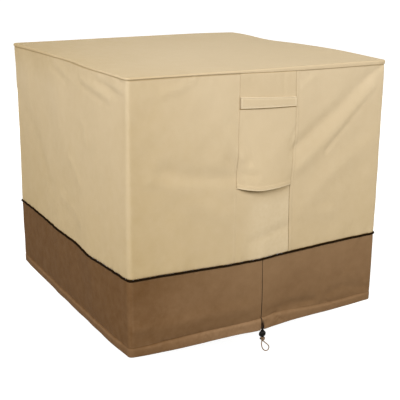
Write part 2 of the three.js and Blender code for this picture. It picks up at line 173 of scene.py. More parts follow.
# %% [markdown]
# ## How the cloth hangs
#
# Real cloth bellies out between its corners, sags between its fixed points and creases where it is pulled.
# This could be simulated, but the folds would then fall by chance. The cover in view has its own folds, so
# they are written down as a few tables. Each face has rows of t, how far the top edge rises, how far the cloth
# stands out at four heights, how far it sags at two, and how deep the rolled edge's lip is.

# %% Tables of bulges, sags and creases
HANG_NAMES = "rise top halfway piping hem pipingSag hemSag lip".split()
HANG = [
    [
        (-434, 2.4, 0, 0, 0, 2, 1.5, 3.2, 5.2), (-330, 1.8, 0, 2, 4.5, 8, 3.2, 5.5, 5.2),
        (-205, 1.2, 0, 4, 8, 12, 6.4, 6.2, 5.8), (-100, 0.6, 0, 6, 10.5, 13, 8.6, 6.8, 7.4),
        (-10, 0, 0, 7.5, 12, 16.5, 10, 9, 9.5), (55, 0, 0, 7.5, 9.5, 11, 7.8, 7.9, 11),
        (155, 0, 0, 3, 6.5, 6.5, 5, 6, 12.5), (310, 0, 0, 1, 4, 6, 3.2, 4, 13),
        (434, -1, -1, 1, 3, 4, 2.5, 2.5, 12),
    ],
    [
        (-434, -1, -1, 1, 3, 4, 2.5, 2.5, 12), (-190, 4, 0, 4, 7, 9, 5, 5, 10),
        (10, 1.5, 0, 6, 10, 13, 7, 7, 11), (195, -3.5, 0, 3, 7, 10, 6, 5, 10),
        (350, 0.7, 0, 0, 3, 5, 2, 3, 10), (434, 0, 0, -2, 0, 1, 1, 1, 10),
    ],
    [
        (-434, 0, 0, -2, 0, 1, 1, 1, 10), (-300, 2.5, 0, 2, 5, 8, 3, 4, 9),
        (-90, 2.5, 0, 7, 11, 12, 8, 7, 11), (110, 2, 0, 5, 8, 13, 6, 7, 10),
        (270, 1, 1, 1, 4, 6, 3, 3, 9), (434, 0.5, 2, -2.5, -1, -2, 0, -2.5, 9),
    ],
    [
        (-434, 0.5, 2, -2.5, -1, -2, 0, -2.5, 9), (-270, 2.5, 0, -1, 0.5, 0.5, 0.5, -0.5, 8),
        (-80, 4, 0, 3, 5, 2.5, 3.4, 2, 6.4), (70, 5, 0, 3, 4.5, 3.5, 3.4, 2.6, 5.4),
        (200, 1.8, 0, 6, 11, 5.5, 5.6, 3, 5.2), (306, 2.4, 0, 3, 6, 4.5, 3.4, 3, 5.2),
        (434, 2.4, 0, 0, 0, 2, 1.5, 3.2, 5.2),
    ],
]
# Creases: from, by and to as t and drop, the depth at both ends (below zero is drawn in), the width
CREASES = {
    FRONT: [
        (374, 39, 253, 135, 100, 236, -3, -5, 32), (390, 83, 259, 192, 117, 295, 3.5, 3.5, 34),
        (360, 258, 263, 321, 174, 376, 2, 2.5, 46), (130, 437, 189, 444, 248, 451, 1.5, 1.5, 34),
        (121, 60, 143, 47, 164, 34, 1.2, 1.2, 16), (-125, 169, -102, 205, -85, 240, 2, 3.2, 24),
        (-76, 287, -60, 290, -40, 294, -2, -1.6, 18), (54, 24, 55, 46, 58, 69, -1.1, -1.1, 11),
        (-85, 173, -71, 211, -57, 255, -1.6, -3, 19), (-123, 242, -98, 279, -83, 321, -2, -3, 20),
        (104, 176, 93, 194, 84, 212, -1.6, -1.6, 14), (-323, 252, -247, 277, -112, 298, -2.5, -4, 38),
        (-368, 280, -314, 300, -112, 314, 1.5, 1, 26), (-328, 48, -274, 37, -235, 16, 1.8, 1.4, 16),
        (-284, 320, -222, 356, -144, 400, 1.5, 3, 50), (80, 468, 14, 479, -49, 493, -2.4, -1.6, 22),
        (247, 385, 190, 402, 136, 417, 1, 2, 44), (16, 752, 66, 733, 205, 735, -3, -1.5, 15),
        (-60, 765, -190, 745, -330, 752, -1.5, -2, 18), (23, 724, 96, 719, 196, 727, -2.5, -4, 20),
        (259, 718, 316, 707, 396, 729, -3, -2.5, 20), (333, 664, 371, 687, 409, 714, 1.6, 2, 14),
        (365, 679, 394, 705, 423, 739, -1.4, -2, 12), (46, 736, 60, 749, 79, 763, -1.8, -1.8, 8),
        (248, 740, 267, 751, 283, 761, -1.8, -1.6, 8), (161, 597, 187, 617, 212, 640, 1.4, 1, 20),
        (406, 81, 315, 165, 221, 255, -1.6, -3.2, 12), (428, 12, 385, 38, 345, 68, -3, -1.6, 14),
        (-405, 700, -246, 698, -60, 694, 2, 3.5, 36), (50, 770, 54, 767, 58, 764, -2, -2, 7),
        (53, 746, 70, 757, 87, 767, -1.4, -1.6, 8), (-196, 752, -187, 760, -179, 769, -1.5, -1.5, 8),
        (-427, 693, -402, 696, -371, 694, 1.5, 1, 14), (-20, 742, -20, 748, -20, 752, -1, -1.5, 8),
    ],
    RIGHT: [
        (-395, 30, -280, 130, -170, 210, -1.5, -4, 34), (390, 40, 270, 160, 200, 300, -1.5, -3.5, 36),
        (-60, 300, 30, 330, 150, 320, 1, 2.5, 50), (120, 640, 140, 700, 130, 770, -1, -3, 30),
    ],
    BACK: [
        (-380, 30, -250, 120, -160, 240, -1.5, -4, 34), (60, 20, 70, 180, 50, 360, -1, -2.5, 40),
        (385, 60, 300, 190, 230, 290, -1.5, -3.5, 32), (-150, 630, -170, 700, -160, 775, -1, -3, 30),
    ],
    LEFT: [
        (-41, 25, 36, 50, 123, 68, 1.4, 1.6, 18), (-112, 33, -46, 48, 14, 65, -1.2, -1.2, 14),
        (70, 58, 204, 66, 279, 78, -1, -2, 13), (141, 45, 277, 59, 331, 70, 2, 2.8, 15),
        (235, 30, 317, 38, 378, 52, -1.6, -2, 10), (264, 18, 362, 31, 414, 39, 1.4, 2, 11),
        (355, 6, 398, 12, 432, 16, -1, -1.2, 6), (45, 292, 83, 319, 123, 351, 1.6, 1.6, 26),
        (131, 155, 161, 183, 175, 214, 1.2, 1.2, 28), (-29, 427, 66, 446, 117, 468, 1.4, 1.6, 26),
        (-380, 170, -230, 300, -120, 420, -1, -2, 48),
    ],
}
SEAMS = [(0, -88, 98), (85, -89, 100), (150, -90, 102), (215, -92, 101), (260, -93, 95), (350, -96, 88),
         (549, -101, 92)]
MOUTH = [(0, 328, 0.6), (0.15, 333, 9), (0.35, 338, 14.5), (0.6, 339, 13), (0.85, 339, 7.5), (1, 339, 0.6)]
print(sum(map(len, CREASES.values())), "creases")

# %% [markdown]
# A smooth curve through a table's rows gives every place in between. At each row its slope is the mean of the
# slopes to the rows on both sides, so it never overshoots much. Arrays of places go in and come out, which
# keeps a hundred thousand points quick.

# %% Curves through the tables


def spline(knots, levels, places):
    """The smooth curve through levels at knots; levels may differ from place to place."""
    knots = np.array(knots, float)
    levels = np.array(levels, float)
    levels = levels.reshape(len(knots), -1) + np.zeros(places.size)
    slopes = np.diff(levels, axis=0) / np.diff(knots)[:, None]
    tangents = np.concatenate([slopes[:1], (slopes[:-1] + slopes[1:]) / 2, slopes[-1:]])
    at = np.clip(places.ravel(), knots[0], knots[-1])
    i = np.clip(np.searchsorted(knots, at, side="right") - 1, 0, len(knots) - 2)
    run = knots[i + 1] - knots[i]
    s = (at - knots[i]) / run
    n = np.arange(len(at))
    value = (levels[i, n] * (1 + 2 * s) * (1 - s) ** 2 + tangents[i, n] * run * s * (1 - s) ** 2
             + levels[i + 1, n] * s * s * (3 - 2 * s) + tangents[i + 1, n] * run * s * s * (s - 1))
    return value.reshape(places.shape)


def through_table(rows, column, places):
    return spline([row[0] for row in rows], [row[column] for row in rows], np.asarray(places, float))


def round_tables(tables, column, around):
    """What a table for each face gives at each place round the cover."""
    face, t, _ = around
    return sum(np.where(face == f, through_table(tables[f], column, t), 0) for f in range(4))


def smooth(x, low, high):
    s = np.clip((np.asarray(x, float) - low) / (high - low), 0, 1)
    return s * s * (3 - 2 * s)


def most(*masks):
    """The highest of several masks at each place."""
    highest = masks[0]
    for mask in masks[1:]:
        highest = np.maximum(highest, mask)
    return highest


def bump_at(distance, width):
    """1 in the middle, a half at half of width away, and then soon 0."""
    return np.exp(-4 * math.log(2) * (distance / width) ** 2)


def crease_push(face, t, drop):
    """How far the creases of one face push each place outwards."""
    push = np.zeros(t.shape)
    place = np.stack([t, drop], axis=-1)
    for crease in CREASES[face]:
        path = np.array(crease[:6], float).reshape(3, 2)
        start, end, width = crease[6:]
        nearest, depth = np.full(t.shape, np.inf), np.zeros(t.shape)
        for leg in (0, 1):
            run = path[leg + 1] - path[leg]
            along = np.clip((place - path[leg]) @ run / (run @ run), 0, 1)
            distance = np.linalg.norm(place - path[leg] - along[..., None] * run, axis=-1)
            depth = np.where(distance < nearest, start + (end - start) * (leg + along) / 2, depth)
            nearest = np.minimum(nearest, distance)
        push += depth * bump_at(nearest, width)
    return push


def hang_at(face, t, drop):
    """How far out and how far down one face's cloth is."""
    h = {name: through_table(HANG[face], i + 1, t) for i, name in enumerate(HANG_NAMES)}
    levels = np.stack([h[name].ravel() for name in ("top", "halfway", "piping", "hem")])
    out = spline([0, HALFWAY_DROP, PIPING_DROP, HEM_DROP], levels, drop)
    above = (h["pipingSag"] + h["rise"]) * drop / PIPING_DROP - h["rise"]
    below_piping = (drop - PIPING_DROP) / (HEM_DROP - PIPING_DROP)
    below = h["pipingSag"] + (h["hemSag"] - h["pipingSag"]) * below_piping
    return out + crease_push(face, t, drop), np.where(drop < PIPING_DROP, above, below)


belly, _ = hang_at(FRONT, np.array([[0.0]]), np.array([[PIPING_DROP]]))
print("the front bellies out", round(float(belly[0, 0]), 1), "mm at the piping")

# %% [markdown]
# Between its folds cloth is never quite even, and along a seam the thread draws it into small puckers. Both
# are sums of a few sine waves whose sizes and places come from a seeded draw, so that every run gives the same
# cloth. Waves round the cover have a whole number of turns and so meet themselves without a step.

# %% Small unevenness
draw = np.random.default_rng(7)


def waves(count, longest, shortest, height):
    """Waves round the cover, as turns round it, turns down it, starts and heights."""
    lengths = np.geomspace(longest, shortest, count) * draw.uniform(0.9, 1.1, count)
    lean = draw.uniform(-1.1, 1.1, count)
    around = np.rint(WAY_ROUND / lengths * np.cos(lean))
    down = np.sin(lean) / lengths
    return np.stack([around, down, draw.uniform(0, 1, count), height * (lengths / longest) ** 0.8], axis=1)


def ripple(kinds, way, drop):
    total = np.zeros(np.broadcast(way, drop).shape)
    for around, down, start, height in kinds:
        total += height * np.sin(2 * math.pi * (around * way / WAY_ROUND + down * drop + start))
    return total


SOFT_WAVES = waves(9, 330, 70, 0.55)
PUCKERS = [waves(5, 46, 17, 0.3) for _ in range(4)]
SEAM_REACH = 26
STITCH_DROP = HEM_DROP - HEM_HEIGHT


def unevenness(way, drop):
    """Soft waves all over, and puckers near the seams that run round the cover."""
    lines = (14, PIPING_DROP - 6, PIPING_DROP + 6, STITCH_DROP)
    push = ripple(SOFT_WAVES, way, drop) * smooth(drop, 0, 60)
    for line, kinds in zip(lines, PUCKERS):
        push = push + ripple(kinds, way, 0 * drop) * bump_at(drop - line, SEAM_REACH)
    return push


print("puckers reach", SEAM_REACH / 2, "mm from a seam")

# %% [markdown]
# ## From a place on the cover to a point in space
#
# Every cloth piece is cut from the same skin: a place round the cover, a drop, and how far proud of the walls
# it lies. On the front the places follow the two upright seams, so columns of points run along the seams
# and none crosses them.

# %% The skin of the cover


def follow_seams(t, drop):
    """Places on the front, moved sideways as the two upright seams move at that drop."""
    left, right = through_table(SEAMS, 1, drop), through_table(SEAMS, 2, drop)
    left0, right0 = SEAMS[0][1:]
    share = np.clip((t - left0) / (right0 - left0), 0, 1)
    between = left + (right - left) * share
    beside_right = t + (right - right0) * (1 - smooth(t, right0 + 12, right0 + 90))
    beside_left = t + (left - left0) * (1 - smooth(-t, 12 - left0, 90 - left0))
    return np.where(t > right0, beside_right, np.where(t < left0, beside_left, between))


def way_round(face, t, turn):
    return face * FACE_RUN + np.clip(t, -STRAIGHT, STRAIGHT) + STRAIGHT + turn * QUARTER


def looks_of(around):
    """The level directions that the cloth looks in."""
    angle = (around[0] + around[2] - 1) * math.pi / 2
    return np.stack([np.cos(angle), np.sin(angle), 0 * angle], axis=-1)


def skin(around, drop, proud, seams=True):
    """Points in millimetres: a row for each drop and a column for each place round the cover."""
    face, t, turn = around
    drop = np.asarray(drop, float) + 0 * t
    proud = np.asarray(proud, float) + 0 * drop
    t = t + 0 * drop
    if seams:
        t = np.where(face == FRONT, follow_seams(t, drop), t)
    out, sag = np.zeros(drop.shape), np.zeros(drop.shape)
    for f in range(4):
        mine = face == f
        if not mine.any():
            continue
        out[:, mine], sag[:, mine] = hang_at(f, t[:, mine], drop[:, mine])
        bend = mine & (turn > 0)
        if bend.any():
            next_out, next_sag = hang_at((f + 1) % 4, -t[:, bend], drop[:, bend])
            out[:, bend] += (next_out - out[:, bend]) * turn[bend]
            sag[:, bend] += (next_sag - sag[:, bend]) * turn[bend]
    out += unevenness(way_round(face, t, turn), drop)
    looks, ahead = looks_of(around), looks_of((face, t, 0 * turn))
    reach = CORNER_RADIUS + out + proud
    along = np.clip(t, -STRAIGHT, STRAIGHT)
    x = ahead[:, 0] * STRAIGHT - ahead[:, 1] * along + looks[:, 0] * reach
    y = ahead[:, 1] * STRAIGHT + ahead[:, 0] * along + looks[:, 1] * reach
    return np.stack([x, y, CLOTH - drop - sag], axis=-1)


def lip_drop(around):
    """The drop of the seam under the rolled edge."""
    return round_tables(HANG, HANG_NAMES.index("lip") + 1, around)


# %% [markdown]
# ## Columns of points
#
# A sheet is a grid, and its columns are shared by all the bands, about five millimetres apart. They stand
# closer together beside the two seams of the front and round the slit in the hem, where the shape changes fast.

# %% Columns round the cover
STEP = 5.6
SEAM_SIDES = (0.15, 0.6, 1.2, 2, 3, 4.2, 5.6, 7, 8.2, 9, 10, 12, 15, 20)
SLIT = {"apex": -2, "left": -5, "right": 9, "topDrop": 752}


def spread(start, end, step=STEP):
    return np.linspace(start, end, max(2, math.ceil(abs(end - start) / step) + 1))


def columns_of(face, places):
    places = np.asarray(places, float)
    return np.full(len(places), face), places, np.zeros(len(places))


def joined(*runs):
    """Runs of columns one after another."""
    return tuple(np.concatenate([run[k] for run in runs]) for k in range(3))


def corner(face, steps=4):
    turns = np.arange(1, steps) / steps
    return np.full(steps - 1, face), np.full(steps - 1, HALF), turns


def part_of(around, keep):
    return tuple(values[keep] for values in around)


LEFT_SEAM, RIGHT_SEAM = SEAMS[0][1:]
beside_right = RIGHT_SEAM + np.array(SEAM_SIDES)
beside_left = LEFT_SEAM - np.array(SEAM_SIDES)[::-1]
OTHER_FACES = joined(*(
    run for f in (RIGHT, BACK, LEFT) for run in (columns_of(f, spread(-STRAIGHT, STRAIGHT)), corner(f))
))
WALL_AROUND = joined(
    columns_of(FRONT, beside_right), columns_of(FRONT, spread(beside_right[-1], STRAIGHT)[1:]),
    corner(FRONT), OTHER_FACES,
    columns_of(FRONT, spread(-STRAIGHT, beside_left[0])[:-1]), columns_of(FRONT, beside_left),
)
inner = np.array((0.15, 0.7, 1.5, 3, 4.5, 6, 8))
VENT_AROUND = columns_of(FRONT, np.concatenate([
    LEFT_SEAM + inner, spread(LEFT_SEAM + inner[-1], RIGHT_SEAM - inner[-1], 3.4)[1:-1],
    (RIGHT_SEAM - inner)[::-1],
]))
from_left, from_right = VENT_AROUND[1] - LEFT_SEAM, RIGHT_SEAM - VENT_AROUND[1]
vent_share = from_left / (RIGHT_SEAM - LEFT_SEAM)
slit_places = [
    -60, -45, -34, -26, -20, -15, -11, -8, -6, -5, -4.2, -3.4, -2.7, -2.3, -2, -1.7, -1.3, -0.6, 0.6,
    2, 3.6, 5.4, 7.2, 9, 10.5, 13, 17, 22, 28, 36, 47, 60,
]
RING_AROUND = joined(
    columns_of(FRONT, spread(-STRAIGHT, -60)[:-1]), columns_of(FRONT, slit_places),
    columns_of(FRONT, spread(60, STRAIGHT)[1:]), corner(FRONT), OTHER_FACES,
    columns_of(FRONT, [-STRAIGHT]),
)
print(len(WALL_AROUND[0]), "columns on the walls,", len(RING_AROUND[0]), "on the skirt")

# %% [markdown]
# ## Draping a sheet
#
# A flat grid stands for the cut cloth. It is added as a primitive, its points are moved to where the cloth
# hangs, and its UV map keeps each point's place on the flat cloth in metres, so that a weave drawn on the UV
# map is never stretched. The grid's ends are merged where it goes all the way round, and only then does
# Solidify give it a thickness. Two values are stored with each point. The first is high on crests and edges,
# which are painted lighter, partly as wear and partly as painted highlight. The second is painted shade: it
# darkens seams, shut lines and the places that other pieces shade.

# %% Helpers that make sheets


def edit(*steps):
    """Run operators in edit mode with everything selected."""
    bpy.ops.object.mode_set(mode="EDIT")
    bpy.ops.mesh.select_all(action="SELECT")
    for step in steps:
        step()
    bpy.ops.object.mode_set(mode="OBJECT")


def crests(points, ring=False):
    """How sharply the sheet turns outwards at each point, from -1 in a fold to 1 on a crest."""
    down, around = np.gradient(points, axis=0), np.gradient(points, axis=1)
    if ring:
        around[:, 0] = around[:, -1] = points[:, 1] - points[:, -2]
    outward = np.cross(down, around)
    outward /= np.maximum(np.linalg.norm(outward, axis=2), 1e-9)[..., None]
    turn = np.zeros(points.shape[:2])
    for axis in (0, 1):
        p = np.moveaxis(points, axis, 0)
        first, last = (p[-2:-1], p[1:2]) if ring and axis else (p[:1], p[-1:])
        p = np.concatenate([first, p, last])
        before, after = p[1:-1] - p[:-2], p[2:] - p[1:-1]
        runs = np.linalg.norm(before, axis=2), np.linalg.norm(after, axis=2)
        bend = before / np.maximum(runs[0], 1e-6)[..., None] - after / np.maximum(runs[1], 1e-6)[..., None]
        bend /= np.maximum(runs[0] + runs[1], 2)[..., None]
        bend[np.minimum(*runs) < 1e-5] = 0
        turn += np.moveaxis((bend * np.moveaxis(outward, axis, 0)).sum(2), 0, axis)
    return np.clip(turn * 12, -1, 1)


def grid_piece(name, points, cut, worn_and_lit, painted_shade):
    """A grid with its points moved to places in millimetres; cut is their place on the flat cloth."""
    rows, columns = points.shape[:2]
    bpy.ops.mesh.primitive_grid_add(x_subdivisions=columns - 1, y_subdivisions=rows - 1, size=2)
    piece = bpy.context.object
    piece.name = piece.data.name = name
    mesh = piece.data
    flat = np.empty(len(mesh.vertices) * 3)
    mesh.vertices.foreach_get("co", flat)
    flat = flat.reshape(-1, 3)
    column = np.rint((flat[:, 0] + 1) / 2 * (columns - 1)).astype(int)
    row = np.rint((1 - flat[:, 1]) / 2 * (rows - 1)).astype(int)
    mesh.vertices.foreach_set("co", (points[row, column] * MM).ravel())
    loop_point = np.empty(len(mesh.loops), int)
    mesh.loops.foreach_get("vertex_index", loop_point)
    mesh.uv_layers.active.data.foreach_set("uv", (cut[row, column] * MM)[loop_point].ravel())
    for label, values in (("worn_and_lit", worn_and_lit), ("painted_shade", painted_shade + 0 * worn_and_lit)):
        mesh.attributes.new(label, "FLOAT", "POINT").data.foreach_set("value", values[row, column])
    return piece


def finish_piece(piece, smooth_angle):
    bpy.ops.object.shade_smooth_by_angle(angle=math.radians(smooth_angle))
    bpy.ops.object.select_all(action="DESELECT")
    print(piece.name, len(piece.data.polygons), "faces")


def drape(name, points, cut, ring=False, thick=1.4, painted_shade=0.0, wear_and_highlight=0.0):
    """A sheet from rows and columns of points, closed round the cover or not, with a thickness."""
    piece = grid_piece(name, points, cut, crests(points, ring) + wear_and_highlight, painted_shade)
    if ring:
        edit(lambda: bpy.ops.mesh.remove_doubles(threshold=1e-6))
    cloth = piece.modifiers.new("cloth", "SOLIDIFY")
    cloth.thickness, cloth.offset = thick * MM, -1
    bpy.ops.object.modifier_apply(modifier=cloth.name)
    finish_piece(piece, 50)
    return piece


def cut_of(around, drops):
    """Places on the flat cloth of a band: along it and down it."""
    way = way_round(*around)
    last_half = np.arange(len(way)) > len(way) * 0.5
    way = np.where(last_half & (way < FACE_RUN / 2), way + WAY_ROUND, way)
    drops = np.asarray(drops, float) + 0 * way
    return np.stack([way + 0 * drops, drops], axis=-1)


# %% [markdown]
# ## The top panel
#
# The top is one square of khaki cloth. Its edge rolls over a small radius and comes down as a lip, which is
# sewn to the walls all round. A sphere-like dome would be wrong: it rests flat on the unit and only lifts a
# little towards its edges. Its grid has rings that grow from the middle, then the roll, then the lip, whose
# last rows are tucked under.

# %% The rolled top
LIP_PROUD = GAP + CLOTH
ROLL_ANGLES = np.radians([90, 78, 66, 54, 42, 30, 18, 6])
LIP_TUCK = 0.9
PLAN_SHARES = np.concatenate([np.linspace(0, 0.86, 21), [0.9, 0.935, 0.965, 0.985]])
# Waves of the loose cloth: turns across and along the top, start and height
TOP_WAVES = [(0.9, 2.1, 0.3, 0.5), (2.3, -1.2, 0.1, 0.4), (-1.4, 3.0, 0.7, 0.35), (3.6, 1.7, 0.9, 0.25),
             (-4.1, 3.3, 0.2, 0.2)]
TOP_LIFT = 0.8


def top_rise(x, y):
    """How far the loose cloth of the top lifts off the flat unit."""
    lift = sum(h * (1 + np.sin(2 * math.pi * ((a * x + b * y) / SIDE + s))) for a, b, s, h in TOP_WAVES)
    edge = np.maximum(np.abs(x), np.abs(y)) / HALF
    return lift * TOP_LIFT * (1 - smooth(edge, 0.86, 0.99)) * smooth(edge, 0.05, 0.5)


def top_points():
    lip = lip_drop(RING_AROUND)
    rows = [(FOLD_RADIUS * (1 - math.sin(a)), LIP_PROUD - FOLD_RADIUS + FOLD_RADIUS * math.cos(a))
            for a in ROLL_ANGLES]
    below_roll = rows[-1][0]
    rows += [(below_roll + (lip - 0.5 - below_roll) * share, LIP_PROUD) for share in (0.35, 0.7, 1)]
    rows += [(lip - 0.2, LIP_PROUD - 0.25), (lip, LIP_PROUD - LIP_TUCK)]
    drops, prouds = (np.array([row[k] + 0 * lip for row in rows]) for k in (0, 1))
    edge = skin(RING_AROUND, drops, prouds)
    rings = edge[0] * PLAN_SHARES[:, None, None]
    rings[..., 2] = CLOTH + (edge[0, :, 2] - CLOTH) * smooth(PLAN_SHARES, 0.4, 1)[:, None]
    rings[..., 2] += top_rise(rings[..., 0], rings[..., 1])
    return np.concatenate([rings, edge])


def top_cut(points):
    """The top's own plan, carried on over the roll and down the lip by the distance along the cloth."""
    cut = points[..., :2].copy()
    out = looks_of(RING_AROUND)[:, :2]
    for row in range(len(PLAN_SHARES) + 1, len(points)):
        step = np.linalg.norm(points[row] - points[row - 1], axis=-1)
        cut[row] = cut[row - 1] + out * step[:, None]
    return cut


top_grid = top_points()
# The roll is kept from the crest lightening and is given a little painted shade.
on_roll = (np.arange(len(top_grid)) >= len(PLAN_SHARES))[:, None]
top_panel = drape("top_panel_cloth", top_grid, top_cut(top_grid), ring=True, painted_shade=0.08 * on_roll,
                  wear_and_highlight=-1.0 * on_roll)

# %% [markdown]
# ## The wall band and the vent strip
#
# The walls are one long band that starts at the seam right of the vent and ends at the seam left of it, and a
# narrow strip closes the gap. Beside a seam the turned-under allowance makes the cloth thicker, and at the
# seam itself the cloth dips. Both are added here as a small change of how proud the cloth lies.

# %% The walls
WALL_BOTTOM = PIPING_DROP - PIPING_WIDTH / 2 - GAP
NEAR_LIP = np.array([-2.5, -0.6, 0.4, 1.2, 2, 3, 4.2, 6, 9, 13])[:, None]
NEAR_PIPING = [521, 526, 530, 533.5, 536.5, 539, 541, 542.6, 544, 545.2, WALL_BOTTOM]
DOWN_WALL = np.concatenate([[31, 38], spread(46, 515, 9.2), NEAR_PIPING])[:, None]
DOWN_STRIP = np.concatenate([
    [31, 38], spread(46, 315, 9.2), [322, 327, 331], spread(334, 352, 1.5), [356, 362], spread(371, 515, 9.2),
    NEAR_PIPING,
])[:, None]
WELT_WIDTH = 9
WELT_ROWS = (3.8, WELT_WIDTH - 0.6)
RIGHT_WELT, LEFT_WELT = 0.9, 0.2
SEAM_WIDTH = 1.8
STITCH_DIP = 0.35
EDGE_ROW = WALL_BOTTOM - 4
# How wide the shut line under the lip is: a row for each face, of places and widths
LIP_LINE = [
    [(-434, 4), (-100, 3.6), (0, 2.8), (250, 2), (330, 2.4), (434, 4)], [(-434, 4), (-300, 3), (434, 3.4)],
    [(-434, 3.4), (434, 3.4)], [(-434, 4), (60, 4), (130, 5.4), (200, 3.6), (434, 3)],
]
LIP_LINE_DEPTH = 0.3


def wall_drops(around, below):
    """Rows that follow the lip near the top, and seams and stitches below."""
    return np.vstack([lip_drop(around) + NEAR_LIP, below + 0 * around[1]])


def lip_line(around, drop):
    """1 in the narrow shut line under the lip, where the wall is drawn in and painted shade darkens it."""
    width = round_tables(LIP_LINE, 1, around)
    below = drop - lip_drop(around)
    return smooth(below, -1.6, -0.4) * (1 - smooth(below, width - 0.8, width + 1))


def seam_relief(distance, welt, dip):
    """How proud the cloth lies beside an upright seam: a dip, an allowance, and a dip at the stitches."""
    allowance = welt * (1 - smooth(distance, WELT_WIDTH - 0.6, WELT_WIDTH + 1.6))
    stitches = STITCH_DIP * sum(bump_at(distance - row, 1.6) for row in WELT_ROWS)
    return (allowance - dip * bump_at(distance, SEAM_WIDTH) - stitches) * (distance < 40)


def seam_shade(distance, drop, end):
    """The painted shade line in the seam right of the vent, down to where the cloth ends."""
    depth = np.interp(drop, [14, 84, 112, 180, end], [0.3, 0.5, 0.25, 0.2, 0.3])
    return (1 - smooth(distance, 0.6, 1.8)) * depth


def edge_relief(drop):
    """The band dips into the seam with the piping, and at a row of stitches above it."""
    return -0.9 * bump_at(drop - WALL_BOTTOM, 4) - STITCH_DIP * bump_at(drop - EDGE_ROW, 2)


# Painted shade in the seam above the piping.
def edge_shade(drop):
    return smooth(drop, WALL_BOTTOM - 1.6, WALL_BOTTOM - 0.4)


face, t, _ = WALL_AROUND
right_gap = np.where((face == FRONT) & (t > 0), t - RIGHT_SEAM, 999.0)
left_gap = np.where((face == FRONT) & (t < 0), LEFT_SEAM - t, 999.0)
drops = wall_drops(WALL_AROUND, DOWN_WALL)
line = lip_line(WALL_AROUND, drops)
wall_proud = (seam_relief(right_gap, RIGHT_WELT, 1.0) + seam_relief(left_gap, LEFT_WELT, 0.2)
              + edge_relief(drops) - LIP_LINE_DEPTH * line)
# The wall is darkened with painted shade: a shadow line under the lip, the seam right of the vent, a shadow
# beside the strap's end, and the seam above the piping.
strap_end_shadow = 0.25 * (1 - smooth(left_gap, 1.6, 3.4)) * smooth(drops, 70, 73) * (1 - smooth(drops, 104, 107))
wall_shade = most(0.32 * line, seam_shade(right_gap, drops, 545), strap_end_shadow, edge_shade(drops))
wall_band = drape("wall_band_cloth", skin(WALL_AROUND, drops, wall_proud), cut_of(WALL_AROUND, drops),
                  painted_shade=wall_shade)

drops = wall_drops(VENT_AROUND, DOWN_STRIP)
mouth_drop, mouth_lift = through_table(MOUTH, 1, vent_share), through_table(MOUTH, 2, vent_share)
strip_proud = edge_relief(drops) - 0.2 * bump_at(from_left, SEAM_WIDTH) - 0.8 * bump_at(from_right, SEAM_WIDTH)
# Painted shadow on the strip under the hood's mouth, painted shade in the seams, and a painted highlight on the
# strip lower down.
below_mouth = drops - mouth_drop
mouth_shadow = (0.3 * (1 - smooth(below_mouth, 0.2 * mouth_lift, 0.5 * mouth_lift + 3))
               + 0.3 * (1 - smooth(below_mouth, 1, 17)) * smooth(mouth_lift, 0, 8))
strip_shade = most(mouth_shadow, edge_shade(drops), 0.3 * (1 - smooth(from_right, 0.4, 1.4)))
strip_highlight = 1.8 * smooth(drops, 350, 390) * smooth(from_left, 5, 90)
vent_strip = drape("vent_strip_cloth", skin(VENT_AROUND, drops, strip_proud), cut_of(VENT_AROUND, drops),
                   painted_shade=strip_shade, wear_and_highlight=strip_highlight)

# %% [markdown]
# ## The vent hood
#
# The hood lies over the strip, is sewn in at its top and sides, and opens downwards. Its lower edge stands
# off by about fourteen millimetres, and is a real hem: the cloth turns round a small radius and goes back up
# inside, so a view from below shows a folded edge and not a cut one. Its left edge lies a little over the seam
# and hides it.

# %% The hood
LIFT_FROM_DROP = 118
LIFT_POWER = 1.6
HOOD_HEM = 12
HOOD_HEM_PROUD = 0.9
HOOD_EDGE_RADIUS = 1.1
HOOD_OVERLAP = 1.4
STRAP = {"leftTop": 72, "leftBottom": 104, "rightTop": 84, "rightBottom": 111, "bow": 2}


def strap_edges(share):
    top = STRAP["leftTop"] + (STRAP["rightTop"] - STRAP["leftTop"]) * share
    return top, STRAP["leftBottom"] + (STRAP["rightBottom"] - STRAP["leftBottom"]) * share


def hood_lift(drop):
    """How far proud the hood lies: it is flat under the strap and swings out towards its mouth."""
    return mouth_lift * np.clip((drop - LIFT_FROM_DROP) / (mouth_drop - LIFT_FROM_DROP), 0, 1) ** LIFT_POWER


def runs_between(start, end, count):
    return [start + (end - start) * share for share in np.linspace(0, 1, count)[1:]]


def hood_drops():
    """Rows down the hood, close together under the lip and where the strap shades it."""
    strap_top, strap_bottom = strap_edges(vent_share)
    top = lip_drop(VENT_AROUND) + GAP
    lower = mouth_drop - HOOD_HEM - 3
    return np.array(
        [top + step for step in (0, 0.8, 1.6, 2.6, 4.5)] + runs_between(top + 4.5, strap_top, 8)
        + runs_between(strap_top, strap_bottom - 1.5, 5)
        + [strap_bottom + step for step in (-0.3, 0.6, 1.6, 2.6, 3.6, 5, 8)]
        + runs_between(strap_bottom + 8, lower, 31) + runs_between(lower, mouth_drop - 1, 9))


